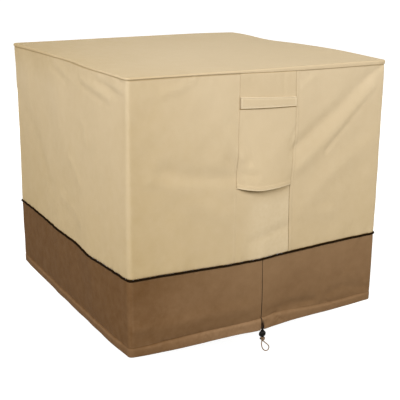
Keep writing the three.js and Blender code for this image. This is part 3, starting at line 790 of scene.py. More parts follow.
def hood_points():
    drop = hood_drops()
    strap_top, strap_bottom = strap_edges(vent_share)
    below_top, hem_top = drop - drop[0], mouth_drop - HOOD_HEM
    proud = (GAP + CLOTH + hood_lift(drop) + HOOD_HEM_PROUD * smooth(drop, hem_top - 1, hem_top + 1)
             - STITCH_DIP * bump_at(drop - mouth_drop + HOOD_HEM - 1.5, 2)
             - 1.2 * bump_at(below_top, 3) - 0.7 * bump_at(drop - strap_bottom - 1.5, 4))
    # The cloth turns round the edge and goes back up inside
    radius, hem_proud = HOOD_EDGE_RADIUS, GAP + CLOTH + HOOD_HEM_PROUD
    for angle in np.radians([30, 60, 90, 120, 150, 180]):
        drop = np.vstack([drop, mouth_drop - radius + radius * math.sin(angle)])
        proud = np.vstack([proud, hem_proud + mouth_lift - radius + radius * math.cos(angle)])
    for back_up in (3, 6, 9, 10.5):
        drop = np.vstack([drop, mouth_drop - back_up])
        proud = np.vstack([proud, hem_proud + hood_lift(mouth_drop - back_up) - 2 * radius])
    proud = proud - 1.0 * (1 - smooth(from_left, 0, 15)) - 1.0 * bump_at(from_right, 2)
    # Painted shadow under the strap and under the lip, a little painted shade above the strap, and painted
    # shade in the seam right of the vent.
    strap_shadow = (smooth(drop, strap_bottom - 1.5, strap_bottom - 0.4)
                   * (1 - smooth(drop, strap_bottom + 1.8, strap_bottom + 3.6)))
    lip_shadow = 1 - smooth(drop - drop[0], 1.4, 2.8)
    above_strap_shade = 1 - smooth(drop, strap_top - 4, strap_top + 2)
    seam = seam_shade(from_right, drop, 340)
    return drop, proud, most(seam, 0.75 * strap_shadow, 0.4 * lip_shadow, 0.07 * above_strap_shade)


hood_drop, hood_proud, hood_shade = hood_points()
over_seam = HOOD_OVERLAP * (1 - smooth(from_left, 0, 9))
HOOD_AROUND = (VENT_AROUND[0], VENT_AROUND[1] - over_seam, VENT_AROUND[2])
# The hood's lower edge is painted lighter, as a painted highlight.
vent_flap = drape("vent_flap_cloth", skin(HOOD_AROUND, hood_drop, hood_proud), cut_of(HOOD_AROUND, hood_drop),
                  thick=0.9, painted_shade=hood_shade, wear_and_highlight=2.2 * smooth(hood_drop - mouth_drop, -5, -2))

# %% [markdown]
# ## The strap
#
# A flat strap is sewn across the hood at both ends and bows out a little between them. It is a tube of cloth
# pressed flat, so its edges are round and its middle is a touch thinner inside its border of stitches.

# %% The strap
STRAP_THICK = 3
STRAP_ROWS = (0.12, 0.88)
STRAP_EDGE_ANGLES = np.radians([-60, -30, 0, 30, 60, 85])


def strap_base(share):
    """How proud the strap's underside lies."""
    return GAP + CLOTH + GAP + STRAP["bow"] * np.sin(math.pi * share)


def strap_points():
    top, bottom = strap_edges(vent_share)
    base, radius = strap_base(vent_share), STRAP_THICK / 2
    rows = [(top + radius - radius * math.cos(a), base + radius + radius * math.sin(a))
            for a in STRAP_EDGE_ANGLES]
    for inset in (0.06, 0.12, 0.17, 0.25, 0.38, 0.5, 0.62, 0.75, 0.83, 0.88, 0.94):
        at_row = sum(bump_at(inset - row, 0.06) for row in STRAP_ROWS)
        rows.append((top + (bottom - top) * inset, base + STRAP_THICK - 0.7 * at_row - 0.15))
    rows += [(bottom - radius + radius * math.cos(a), base + radius + radius * math.sin(a))
             for a in STRAP_EDGE_ANGLES[::-1]]
    drops, prouds = map(np.array, zip(*rows))
    # Painted shade on the strap's cut ends and its underside, and a painted highlight on its border of
    # stitches.
    shaded_ends = np.maximum(0.15 * (1 - smooth(from_left, 0.3, 1.2)), 0.5 * (1 - smooth(from_right, 0.3, 1.2)))
    underside = np.where(np.arange(len(drops)) > len(drops) - 4, 0.5, 0)[:, None]
    down = (drops - top) / (bottom - top)
    border = most(1 - smooth(down, 0.1, 0.18), smooth(down, 0.78, 0.86), 1 - smooth(from_left, 4, 7),
                  1 - smooth(from_right, 4, 7))
    return drops, prouds, np.maximum(shaded_ends, underside), 3 * border


strap_drop, strap_proud, strap_shade, strap_highlight = strap_points()
handle_strap = drape("handle_strap_cloth", skin(VENT_AROUND, strap_drop, strap_proud),
                     cut_of(VENT_AROUND, strap_drop), thick=1.2, painted_shade=strap_shade, wear_and_highlight=strap_highlight)

# %% [markdown]
# ## The skirt
#
# The skirt is a brown band closed by an upright seam in the middle of the front. Its hem is a tunnel for the
# drawcord: the cloth goes down the outside, round the bottom and back up inside. Near the slit, where the cord
# draws it in, its row of stitches lies higher, and near the corners it is flatter. Below the seam the tunnel
# is open in a narrow slit, which is cut here by lifting the hem's edge along a few close columns.

# %% The skirt and its hem
SKIRT_TOP = PIPING_DROP + PIPING_WIDTH / 2 + GAP
SKIRT_DROPS = np.concatenate([
    [SKIRT_TOP, 553, 554.6, 556.4, 558.6, 561.5, 565, 570, 577], spread(585, 728, 9),
    [735, 740, 744, 746.6, 748.4, STITCH_DROP, 751.6, 753.4, 756, 759, 763, 767, 771, 774.5],
])[:, None]
HEM_OUT = 1.6
HEM_ROLL = 2.2
HEM_DRAW = 3.2
HEM_DRAW_REACH = 26
HEM_STITCH_DIP = STITCH_DIP * 1.4
HEM_AT_CORNER = 1 - 0.8 * smooth(np.abs(RING_AROUND[1]), 340, 430)
SKIRT_SEAM = -2
SEAM_ALLOWANCE = 0.5
SEAM_STITCHES = SKIRT_SEAM - 6
FRONT_T = np.where(RING_AROUND[0] == FRONT, RING_AROUND[1], 999.0)


def hem_rise(around):
    """How much higher than at the corners the hem's stitches lie, where the cord draws the hem in."""
    t = around[1]
    rise = 6 * bump_at(t + 200, 280) + 12 * bump_at(t - 50, 190)
    return np.where(around[0] == FRONT, rise * (1 - smooth(np.abs(t), 330, 434)), 0)


def skirt_relief():
    """How proud the skirt lies: its tunnel, the draw of the cord, its seam and its top edge."""
    below = SKIRT_DROPS - STITCH_DROP
    tunnel = HEM_OUT * HEM_AT_CORNER * np.sin(math.pi * np.clip(below / 29, 0, 1)) ** 0.7
    draw_share = np.where(below < 0, np.exp(below / HEM_DRAW_REACH), 1 - smooth(below, 0, 8))
    relief = (tunnel - HEM_DRAW * HEM_AT_CORNER * draw_share - HEM_STITCH_DIP * bump_at(below, 3)
              - 0.9 * bump_at(SKIRT_DROPS - SKIRT_TOP, 4))
    seam = (SEAM_ALLOWANCE * (1 - smooth(np.abs(FRONT_T - SKIRT_SEAM + 4), 4, 6.5))
            - 2.6 * bump_at(FRONT_T - SKIRT_SEAM, 1.8) - STITCH_DIP * bump_at(FRONT_T - SEAM_STITCHES, 2))
    return relief + seam * (np.abs(FRONT_T) < 40) * (1 - smooth(below, 2, 10))


def skirt_points():
    open_to = np.interp(FRONT_T, [SLIT[name] for name in ("left", "apex", "right")],
                        [HEM_DROP, SLIT["topDrop"], HEM_DROP])
    squeeze = (open_to - STITCH_DROP) / HEM_HEIGHT
    below = SKIRT_DROPS - STITCH_DROP
    drop = STITCH_DROP + below * np.where(below > 0, squeeze, 1)
    near_stitches = smooth(SKIRT_DROPS, 680, STITCH_DROP) * (1 - smooth(SKIRT_DROPS, STITCH_DROP + 2, 777))
    drop -= hem_rise(RING_AROUND) * near_stitches
    proud = skirt_relief()
    edge = proud[-1]
    # The hem turns round its lower edge and goes back up inside
    for angle in np.radians([20, 45, 70, 95, 120, 150, 180]):
        drop = np.vstack([drop, open_to - HEM_ROLL + HEM_ROLL * math.sin(angle)])
        proud = np.vstack([proud, edge - HEM_ROLL + HEM_ROLL * math.cos(angle)])
    for back_up in (6, 11, 16, 21, 26):
        drop = np.vstack([drop, open_to - back_up * np.clip(squeeze, 0.15, 1)])
        proud = np.vstack([proud, edge - 2 * HEM_ROLL + 0.6 * (back_up > 20)])
    return drop, proud, open_to < HEM_DROP - 0.5


def skirt_looks(rows, in_slit):
    """Painted shade in the seam, the slit and the top edge, and painted highlight on the hem and near the
    corner.
    """
    seam_depth = np.interp(rows, [553, 640, 752], [0.5, 0.8, 0.9])
    seam_line = (1 - smooth(np.abs(FRONT_T - SKIRT_SEAM), 1.0, 2.4)) * seam_depth
    slit_edge = in_slit * smooth(rows, STITCH_DROP + 4, STITCH_DROP + 24)
    painted_shade = most(seam_line, slit_edge, 1 - smooth(rows - SKIRT_TOP, 0.4, 1.6))
    hem_highlight = np.interp(FRONT_T, [-420, -330, -200, -60, 60, 420], [0.5, 0.7, 1.4, 1.9, 0.5, 0.5])
    corner_highlight = 0.6 * bump_at(FRONT_T + 320, 260) * smooth(rows, 560, 640)
    below_stitches = smooth(rows, STITCH_DROP - 3, STITCH_DROP + 3)
    return painted_shade, corner_highlight + (hem_highlight - corner_highlight) * below_stitches


skirt_drop, skirt_proud, in_slit = skirt_points()
turned_rows = np.repeat(SKIRT_DROPS[-1:], len(skirt_drop) - len(SKIRT_DROPS), axis=0)
skirt_shade, skirt_highlight = skirt_looks(np.vstack([SKIRT_DROPS, turned_rows]), in_slit)
skirt = drape("skirt_cloth", skin(RING_AROUND, skirt_drop, skirt_proud, seams=False),
              cut_of(RING_AROUND, skirt_drop), ring=True, thick=1.1, painted_shade=skirt_shade, wear_and_highlight=skirt_highlight)

# %% [markdown]
# Behind the slit lies a small sheet that stands for the hem's inner layer, painted dark all over as the shade
# inside the hem, so that the slit looks dark and closed from the front. It is part of the skirt, and is joined
# to its mesh.

# %% The shaded sheet behind the slit
SHADE_SHEET_PROUD = -6.4
shade_sheet_around = columns_of(FRONT, spread(SLIT["left"] - 12, SLIT["right"] + 12, 2))
shade_sheet_drops = spread(STITCH_DROP + 3, HEM_DROP - 1.5, 2.5)[:, None] + 0 * shade_sheet_around[1]
shade_sheet = drape("slit_shade_sheet", skin(shade_sheet_around, shade_sheet_drops, SHADE_SHEET_PROUD, seams=False),
               cut_of(shade_sheet_around, shade_sheet_drops), thick=0.6, painted_shade=1.0)
shade_sheet.select_set(True)
skirt.select_set(True)
bpy.context.view_layer.objects.active = skirt
bpy.ops.object.join()
bpy.ops.object.select_all(action="DESELECT")
print("the skirt with its facing has", len(skirt.data.polygons), "faces")

# %% [markdown]
# ## Round pieces along a line
#
# The piping and the cord are round pieces that follow a line. A curve with a bevel would do, but its mesh has
# no say in its weave. A tube made ring by ring can carry a UV map in real metres and a braid in its radius.

# %% A tube along a line


def tube(name, line, radius, sides, ring=False, relief=None, painted_shade=0.0):
    """A round piece along a line of points in millimetres."""
    count = len(line)
    ahead = np.gradient(line, axis=0)
    if ring:
        ahead[0] = ahead[-1] = line[1] - line[-2]
    ahead /= np.linalg.norm(ahead, axis=1)[:, None]
    side = np.zeros_like(line)
    start = np.cross(ahead[0], (0.0, 0.0, 1.0))
    if np.linalg.norm(start) < 0.3:
        start = np.cross(ahead[0], (0.0, 1.0, 0.0))
    side[0] = start / np.linalg.norm(start)
    for i in range(1, count):
        carried = side[i - 1] - ahead[i] * (side[i - 1] @ ahead[i])
        side[i] = carried / np.linalg.norm(carried)
    other = np.cross(ahead, side)
    along = along_of(line)
    angle = np.linspace(2 * math.pi, 0, sides + 1)[:, None]
    size = radius * (1 + (relief(angle, along) if relief else 0)) + 0 * angle * along
    points = line + (np.cos(angle) * size)[..., None] * side + (np.sin(angle) * size)[..., None] * other
    cut = np.stack(np.broadcast_arrays(along + 0 * angle, angle * radius), axis=-1)
    piece = grid_piece(name, points, cut, np.clip((size / radius - 1) * 6, -1, 1), painted_shade)
    edit(lambda: bpy.ops.mesh.remove_doubles(threshold=1e-6),
         lambda: bpy.ops.mesh.select_all(action="DESELECT") if ring else bpy.ops.mesh.fill_holes(sides=0),
         lambda: bpy.ops.mesh.select_all(action="SELECT"),
         lambda: bpy.ops.mesh.normals_make_consistent(inside=False))
    finish_piece(piece, 60)
    return piece


# %% [markdown]
# ## The piping
#
# A dark cord wrapped in cloth is caught in the seam between the walls and the skirt. It runs all the way
# round, so its line ends where it begins.

# %% The piping
PIPING_RADIUS = PIPING_WIDTH / 2 + 0.8
piping_line = skin(RING_AROUND, [[PIPING_DROP]], PIPING_PROUD + 0.4, seams=False)[0]
piping = tube("piping_cord", piping_line, PIPING_RADIUS, 16, ring=True)

# %% [markdown]
# ## Stitches
#
# Thread shows wherever pieces join. One stitch is modelled as a short rounded bar, and copies of it are laid
# along each seam in one mesh. They lie half sunk in the dip that the sheets already have there.

# %% One stitch, then rows of it
STITCH_LENGTH = 2.5
STITCH_PITCH = 3.5
STITCH_WIDTH = 0.62
BAR_SHARE = 0.7
STITCH_BEND = 0.1

bpy.ops.mesh.primitive_cylinder_add(vertices=6, radius=STITCH_WIDTH / 2, depth=STITCH_LENGTH * BAR_SHARE,
                                    end_fill_type="TRIFAN", rotation=(0, math.pi / 2, 0))
stitch = bpy.context.object
bpy.ops.object.transform_apply(location=False, rotation=True, scale=False)
stitch_points = np.array([v.co for v in stitch.data.vertices])
ends = np.hypot(stitch_points[:, 1], stitch_points[:, 2]) < 1e-4
stitch_points[ends, 0] *= 1 / BAR_SHARE
stitch_points[:, 2] -= STITCH_BEND * (stitch_points[:, 0] / (STITCH_LENGTH / 2)) ** 2
stitch_faces = [tuple(p.vertices) for p in stitch.data.polygons]
bpy.data.objects.remove(stitch)


def stitch_row(name, lines, outs):
    """Stitches along lines of points; outs are the directions that the cloth looks in there."""
    vertices, faces = [], []
    for line, out in zip(lines, outs):
        along = along_of(line)
        at = np.arange(STITCH_PITCH / 2, along[-1] - STITCH_PITCH / 2, STITCH_PITCH)
        middle = sampled(at, along, line)
        ahead = sampled(at + 0.7, along, line) - sampled(at - 0.7, along, line)
        ahead /= np.linalg.norm(ahead, axis=1)[:, None]
        normal = sampled(at, along, out)
        normal -= ahead * (normal * ahead).sum(1)[:, None]
        normal /= np.linalg.norm(normal, axis=1)[:, None]
        across = np.cross(normal, ahead)
        p = stitch_points
        for m, a, c, n in zip(middle, ahead, across, normal):
            first = len(vertices) * len(p)
            vertices.append(m + p[:, :1] * a + p[:, 1:2] * c + p[:, 2:] * n)
            faces += [tuple(first + i for i in f) for f in stitch_faces]
    mesh = bpy.data.meshes.new(name)
    mesh.from_pydata((np.concatenate(vertices) * MM).tolist(), [], faces)
    piece = bpy.data.objects.new(name, mesh)
    bpy.context.scene.collection.objects.link(piece)
    for polygon in mesh.polygons:
        polygon.use_smooth = True
    print(name, len(vertices), "stitches")
    return piece


def level_row(around, drop, proud, seams=True):
    """A row of stitches that runs round the cover."""
    return skin(around, np.atleast_2d(drop), np.atleast_2d(proud), seams)[0], looks_of(around)


def upright_row(t, drops, proud, seams=True):
    """A row of stitches that runs down the front at one place."""
    one = columns_of(FRONT, [t])
    drops = np.asarray(drops, float)[:, None]
    line = skin(one, drops, np.asarray(proud, float) + 0 * drops, seams)[:, 0]
    return line, np.repeat(looks_of(one), len(line), axis=0)


# Each row lies in the dip of its cloth, with its thread a tenth of a millimetre or so proud of it
lip_rows = [level_row(RING_AROUND, lip_drop(RING_AROUND) - 1.4, LIP_PROUD + 0.08)]
band_rows = [level_row(WALL_AROUND, EDGE_ROW, 0.15 - STITCH_DIP)] + [
    upright_row(seam + side * row, spread(start, 538), welt - STITCH_DIP + 0.1)
    for seam, side, welt, start in ((RIGHT_SEAM, 1, RIGHT_WELT, 18), (LEFT_SEAM, -1, LEFT_WELT, 16))
    for row in WELT_ROWS
]
skirt_seam_drops = spread(556, 738)
drawn_in = HEM_DRAW * np.exp((skirt_seam_drops + 10 - STITCH_DROP) / HEM_DRAW_REACH)
hem_row_proud = 0.15 - HEM_STITCH_DIP - HEM_DRAW * HEM_AT_CORNER
seam_row_proud = SEAM_ALLOWANCE + 0.1 - STITCH_DIP - drawn_in[:, None]
skirt_rows = [
    level_row(RING_AROUND, STITCH_DROP - hem_rise(RING_AROUND), hem_row_proud, seams=False),
    upright_row(SEAM_STITCHES, skirt_seam_drops, seam_row_proud, seams=False),
]
lip_stitches = stitch_row("lip_stitches", *zip(*lip_rows))
wall_stitches = stitch_row("wall_stitches", *zip(*band_rows))
skirt_stitches = stitch_row("skirt_stitches", *zip(*skirt_rows))

# %% [markdown]
# The hood's hem and the strap's border have rows of their own. The strap's border goes once round, a few
# millimetres in from its edges.

# %% Rows on the hood and the strap
inside = (from_left > 2) & (from_right > 2)
hem_around = part_of(VENT_AROUND, inside)
hood_row = mouth_drop - HOOD_HEM + 1.5
hem_proud = (GAP + CLOTH + hood_lift(hood_row) + HOOD_HEM_PROUD + 0.15 - STITCH_DIP
             - 1.0 * (1 - smooth(from_left, 0, 15)))
hood_stitches = stitch_row("hood_stitches", *zip(level_row(hem_around, hood_row[inside], hem_proud[inside])))


def strap_row(down):
    """A row of stitches along the strap, at a share of its height."""
    share = vent_share[inside]
    top, bottom = strap_edges(share)
    return level_row(hem_around, top + (bottom - top) * down, strap_base(share) + STRAP_THICK - 0.65)


def strap_end(t):
    """A row of stitches across the strap, near one of its ends."""
    share = (t - LEFT_SEAM) / (RIGHT_SEAM - LEFT_SEAM)
    top, bottom = strap_edges(share)
    return upright_row(t, np.linspace(top + 4, bottom - 4, 8), strap_base(share) + STRAP_THICK - 0.2)


strap_rows = [strap_row(down) for down in STRAP_ROWS] + [strap_end(t) for t in (LEFT_SEAM + 6, RIGHT_SEAM - 6)]
strap_stitches = stitch_row("strap_stitches", *zip(*strap_rows))

# %% [markdown]
# ## The drawcord
#
# The cord is braided. Its eight strands cross in two directions, and each pass over the others shows as a
# small rise. Two waves that wind opposite ways round the tube, with the higher of the two taken, give that
# relief in the mesh itself.

# %% The cord
BRAID_PITCH = 6.5


def braid(angle, along):
    turns = 2 * math.pi * along / BRAID_PITCH
    over = np.sin(4 * angle + turns)
    under = np.sin(4 * angle - turns)
    return 0.075 * np.maximum(over, under) - 0.03


# The strands are painted dark above the lock, as painted shade where they go into the slit.
neck_shade = smooth(cord_line[:, 2], LOCK["topZ"] - 6, LOCK["topZ"] + 3)
draw_cord = tube("draw_cord", cord_line, CORD_WIDTH / 2, 24, relief=braid, painted_shade=0.95 * neck_shade)

# %% [markdown]
# ## The knot
#
# Both strands are tied together in one overhand knot. Its line is the classic three-lobed knot, drawn twice
# side by side, which gives a lump with the turns of the cord running over it.

# %% The knot
KNOT_CORD_RADIUS = 1.55


def knot_line(shift):
    """The knot's line, drawn as a closed curve with three lobes and moved a little."""
    a = np.linspace(0, 2 * math.pi, 181)
    x, y, z = np.sin(a) + 2 * np.sin(2 * a), -np.sin(3 * a), np.cos(a) - 2 * np.cos(2 * a)
    wide = (KNOT["wide"] - CORD_WIDTH) / 6
    return np.stack([
        KNOT["x"] + x * wide + shift * 0.5,
        CORD_Y + y * (KNOT["deep"] - CORD_WIDTH) / 2 + shift * 0.4,
        KNOT["middleZ"] + 0.5 + z * (KNOT["height"] - CORD_WIDTH) / 5.6 + shift,
    ], axis=1)


# Both knot tubes are painted a little darker all over, as painted shade between their tight turns.
knot_upper, knot_lower = (
    tube(f"knot_turns_{name}", knot_line(shift), KNOT_CORD_RADIUS, 18, ring=True, relief=braid, painted_shade=0.35)
    for name, shift in (("upper", 0.7), ("lower", -0.9))
)

# %% [markdown]
# ## The cord lock
#
# The lock is a moulded ball with a sprung plunger in its top. The ball starts as a sphere, pressed to the
# lock's width and depth, cut flat above and below with bisect, and hollowed round the plunger with an inset.
# The plunger starts as a cylinder with bevelled rims. Two round holes for the strands are cut through both.

# %% The ball and the plunger
LOCK_SMOOTH_ANGLE = 40
PLUNGER_DEPTH_SHARE = 0.72
RIB_ANGLE = 9
LOCK_MIDDLE = Vector((LOCK["x"], CORD_Y, LOCK["topZ"] - 11.4)) * MM
BALL_TOP = 8.6
BALL_FOOT = -9.6


def finish_lock_piece(piece, name, rim):
    """Bevel the rims by some millimetres, and set the piece in its place under its name."""
    bpy.ops.object.mode_set(mode="OBJECT")
    bevel = piece.modifiers.new("rims", "BEVEL")
    bevel.width, bevel.segments, bevel.limit_method, bevel.angle_limit = rim * MM, 2, "ANGLE", math.radians(35)
    bpy.ops.object.modifier_apply(modifier=bevel.name)
    piece.name = piece.data.name = name
    bpy.ops.object.transform_apply(location=True, rotation=True, scale=True)
    finish_piece(piece, LOCK_SMOOTH_ANGLE)


def select_faces(piece, test):
    """Select the faces whose middle and normal pass a test, in edit mode."""
    bpy.ops.object.mode_set(mode="OBJECT")
    for part in (*piece.data.vertices, *piece.data.edges):
        part.select = False
    for p in piece.data.polygons:
        p.select = bool(test(p.center, p.normal))
    bpy.ops.object.mode_set(mode="EDIT")


bpy.ops.mesh.primitive_uv_sphere_add(segments=48, ring_count=28, radius=LOCK["wide"] / 2 * MM,
                                     location=LOCK_MIDDLE, scale=(1, LOCK["deep"] / LOCK["wide"], 0.9))
ball = bpy.context.object
bpy.ops.object.transform_apply(location=False, rotation=False, scale=True)
bpy.ops.object.mode_set(mode="EDIT")
for height, normal in ((BALL_TOP, (0, 0, 1)), (BALL_FOOT, (0, 0, -1))):
    bpy.ops.mesh.select_all(action="SELECT")
    bpy.ops.mesh.bisect(plane_co=LOCK_MIDDLE + Vector((0, 0, height * MM)), plane_no=normal, use_fill=True,
                        clear_outer=True)
select_faces(ball, lambda middle, normal: middle.z > (BALL_TOP - 0.2) * MM and normal.z > 0.9)
bpy.ops.mesh.inset(thickness=0.9 * MM)
bpy.ops.mesh.inset(thickness=0.4 * MM, depth=-1.6 * MM)
select_faces(ball, lambda middle, normal: abs(middle.z) < 0.7 * MM and abs(normal.z) < 0.3)
bpy.ops.mesh.inset(thickness=0.22 * MM, depth=-0.18 * MM)
finish_lock_piece(ball, "lock_ball", rim=0.35)

bpy.ops.mesh.primitive_cylinder_add(vertices=40, radius=5.6 * MM, depth=6.4 * MM,
                                    location=LOCK_MIDDLE + Vector((0, 0, 8.2 * MM)),
                                    scale=(1, PLUNGER_DEPTH_SHARE, 1))
plunger = bpy.context.object
bpy.ops.object.transform_apply(location=False, rotation=False, scale=True)


def is_rib(middle, normal):
    """Every second upright face of the plunger's side."""
    angle = math.degrees(math.atan2(middle.y / PLUNGER_DEPTH_SHARE, middle.x))
    return abs(normal.z) < 0.5 and int(angle // RIB_ANGLE) % 2


select_faces(plunger, is_rib)
bpy.ops.mesh.inset(thickness=0.12 * MM, depth=-0.22 * MM, use_individual=True)
select_faces(plunger, lambda middle, normal: normal.z > 0.9)
bpy.ops.mesh.inset(thickness=0.6 * MM, depth=0.35 * MM)
finish_lock_piece(plunger, "lock_plunger", rim=0.2)

# %% [markdown]
# The strands need holes. Two thin cylinders along the strands are taken away from both pieces with a Boolean
# modifier, and then removed.

# %% Holes for the strands
HOLE_PLAY = 0.22
for side in (-1, 1):
    place = Vector((LOCK["x"] + side * NECK["bottomX"], CORD_Y, LOCK["topZ"] - 10)) * MM
    bpy.ops.mesh.primitive_cylinder_add(vertices=20, radius=(CORD_WIDTH / 2 + HOLE_PLAY) * MM,
                                        depth=40 * MM, location=place)
    drill = bpy.context.object
    for piece in (ball, plunger):
        cut = piece.modifiers.new("hole", "BOOLEAN")
        cut.operation, cut.object, cut.solver = "DIFFERENCE", drill, "EXACT"
        with bpy.context.temp_override(object=piece, active_object=piece, selected_objects=[piece]):
            bpy.ops.object.modifier_apply(modifier=cut.name)
    bpy.data.objects.remove(drill)
for piece in (ball, plunger):
    bpy.context.view_layer.objects.active = piece
    piece.select_set(True)
    finish_piece(piece, LOCK_SMOOTH_ANGLE)

# %% [markdown]
# ## Finishes that several materials share
#
# Woven cloth, uneven dye, painted shade, and edges made lighter as wear and painted highlight come back in
# every cloth here, so each is a node group, made once and placed in each material with its own values. A group
# gives out only a height or a mask. The shader itself stays in the material.

# %% Node helpers


def feed(tree, made, inputs):
    """Set or link the inputs of a node, each by its name or number."""
    for name, value in inputs.items():
        if isinstance(value, bpy.types.NodeSocket):
            tree.links.new(value, made.inputs[name])
        else:
            made.inputs[name].default_value = value
    return made


def node(tree, kind, inputs=None, **settings):
    made = tree.nodes.new("ShaderNode" + kind)
    for name, value in settings.items():
        setattr(made, name, value)
    return feed(tree, made, inputs or {})


def maths(tree, operation, *values):
    return node(tree, "Math", dict(enumerate(values)), operation=operation).outputs[0]


def ranged(tree, value, start, end):
    """0 at start, 1 at end, and held there on both sides."""
    return node(tree, "MapRange", {"Value": value, "From Min": start, "From Max": end}).outputs["Result"]


def noise(tree, place, scale, detail, **inputs):
    return node(tree, "TexNoise", {"Vector": place, "Scale": scale, "Detail": detail, **inputs}).outputs["Fac"]


def new_group(name, output, **numbers):
    """A shared effect with a place and some numbers going in, and one mask or height coming out."""
    tree = bpy.data.node_groups.new(name, "ShaderNodeTree")
    tree.interface.new_socket("Place", in_out="INPUT", socket_type="NodeSocketVector")
    for socket, value in numbers.items():
        tree.interface.new_socket(socket, in_out="INPUT", socket_type="NodeSocketFloat").default_value = value
    tree.interface.new_socket(output, in_out="OUTPUT", socket_type="NodeSocketFloat")
    return tree, tree.nodes.new("NodeGroupInput").outputs, tree.nodes.new("NodeGroupOutput")


def grouped(tree, group, **inputs):
    """What a shared effect gives out in a material."""
    made = tree.nodes.new("ShaderNodeGroup")
    made.node_tree = group
    return feed(tree, made, inputs).outputs[0]


# %% [markdown]
# A plain weave is a chequer of small humps, one for each thread that passes over another. The product of two
# sine waves, one along each direction of the cut cloth, has that shape. A little noise makes the threads
# uneven.

# %% The weave, the dye, and the wear with its painted highlight
weave, given, result = new_group("plain_weave", "Height", Pitch=0.0009)
across = node(weave, "SeparateXYZ", {"Vector": given["Place"]}).outputs
phases = [maths(weave, "MULTIPLY", maths(weave, "DIVIDE", across[axis], given["Pitch"]), math.pi)
          for axis in "XY"]
threads = maths(weave, "ABSOLUTE", maths(weave, "MULTIPLY", *(maths(weave, "SINE", phase) for phase in phases)))
fluff = noise(weave, given["Place"], 700.0, 2.0)
feed(weave, result, {"Height": maths(weave, "MULTIPLY_ADD", fluff, 0.35, threads)})

dye, given, result = new_group("uneven_dye", "Mask", Scale=6.0)
broad = noise(dye, given["Place"], given["Scale"], 4.0, Roughness=0.6)
feed(dye, result, {"Mask": ranged(dye, broad, 0.3, 0.7)})

# Crests are made lighter, partly as wear and partly as painted highlight.
worn_lit_crests, given, result = new_group("worn_and_lit_crests", "Mask", Rub=0.0, Amount=0.5)
speckle = maths(worn_lit_crests, "ADD", noise(worn_lit_crests, given["Place"], 90.0, 3.0), 0.3)
kept = maths(worn_lit_crests, "MULTIPLY", maths(worn_lit_crests, "MAXIMUM", given["Rub"], 0.0), speckle)
feed(worn_lit_crests, result, {"Mask": maths(worn_lit_crests, "MULTIPLY", kept, given["Amount"])})

crumple, given, result = new_group("soft_crumple", "Height", Scale=22.0)
feed(crumple, result, {"Height": noise(crumple, given["Place"], given["Scale"], 3.0, Roughness=0.45)})

# %% [markdown]
# The light's shading is painted into the colour of the cloth. It is paler near the top and deeper towards the
# ground, the front is deeper towards its left end, the left face is painted darker, and the top is deeper
# towards its far corner. So this painted shade is a sum of masks that are drawn on the place in metres, with
# the uneven dye added.

# %% The painted shading
painted_shading, given, result = new_group("painted_shade_and_dye", "Mask", Dye=0.5, Low=-0.8, Side=0.2, Left=0.1, Aged=1.0)
place = node(painted_shading, "SeparateXYZ", {"Vector": given["Place"]}).outputs
# The masks below paint shade: the left face darker, the front darker towards its left end, and the top deeper
# towards its far corner.
on_left = ranged(painted_shading, place["X"], -0.424, -0.436)
to_left = maths(painted_shading, "POWER", ranged(painted_shading, place["X"], 0.05, -0.42), 2.0)
in_shade = maths(painted_shading, "MULTIPLY", to_left, maths(painted_shading, "SUBTRACT", 1.0, on_left))
to_far_corner = maths(painted_shading, "MULTIPLY_ADD", place["Y"], 1.1, maths(painted_shading, "MULTIPLY", place["X"], -0.8))
on_top = ranged(painted_shading, place["Z"], -0.1, 0.0)
far_top_shade = maths(painted_shading, "MULTIPLY", ranged(painted_shading, to_far_corner, 0.0, 1.0), on_top)
uneven = maths(painted_shading, "MULTIPLY_ADD", given["Dye"], 0.12, -0.06)
shade_and_dye = maths(painted_shading, "ADD", ranged(painted_shading, place["Z"], given["Low"], 0.0), uneven)
for mask, weight in ((in_shade, "Side"), (on_left, "Left"), (far_top_shade, "Aged")):
    shade_and_dye = maths(painted_shading, "SUBTRACT", shade_and_dye, maths(painted_shading, "MULTIPLY", mask, given[weight]))
feed(painted_shading, result, {"Mask": maths(painted_shading, "MAXIMUM", maths(painted_shading, "MINIMUM", shade_and_dye, 1.0), 0.0)})
print(len(bpy.data.node_groups), "shared effects")

# %% [markdown]
# ## The cloths
#
# All three cloths are coated polyester: matt, with a faint sheen at a low angle. Each is painted paler high up
# and deeper near the ground as painted shade, the dye is a little uneven, crests are lighter as wear and
# painted highlight, and seams, shut lines and the places that other pieces shade are darkened with painted
# shade. The weave and the crumple raise the surface.

# %% Cloth materials
KHAKI_SHADING = {"Low": -1.1, "Side": 0.4, "Left": 0.15, "Aged": 0.7}
BROWN_SHADING = {"Low": -1.0, "Side": 0.5, "Left": 0.45, "Aged": 0.0}
BROAD_DYE, FINE_DYE = 6.0, 34.0
FINE_DYE_SHARE = 0.1
CREST_WEAR_AND_HIGHLIGHT = 0.2
CRUMPLE_SCALE = 22.0
CRUMPLE_HEIGHT, WEAVE_HEIGHT = 0.0006, 0.00012


def new_material(name):
    material = bpy.data.materials.new(name)
    material.use_nodes = True
    return material, material.node_tree, material.node_tree.nodes["Principled BSDF"]


def blend(tree, mask, low, high):
    """A mix of two colours, each either a value or another node's output."""
    return node(tree, "Mix", {"Factor": mask, "A": low, "B": high}, data_type="RGBA").outputs["Result"]


def bump(tree, height, distance, **inputs):
    made = node(tree, "Bump", {"Height": height, "Distance": distance, "Strength": 1.0, **inputs})
    return made.outputs["Normal"]


def linear(r, g, b):
    """A colour given as it is seen on a screen, from 0 to 255."""
    return (*(((c / 255 + 0.055) / 1.055) ** 2.4 for c in (r, g, b)), 1)


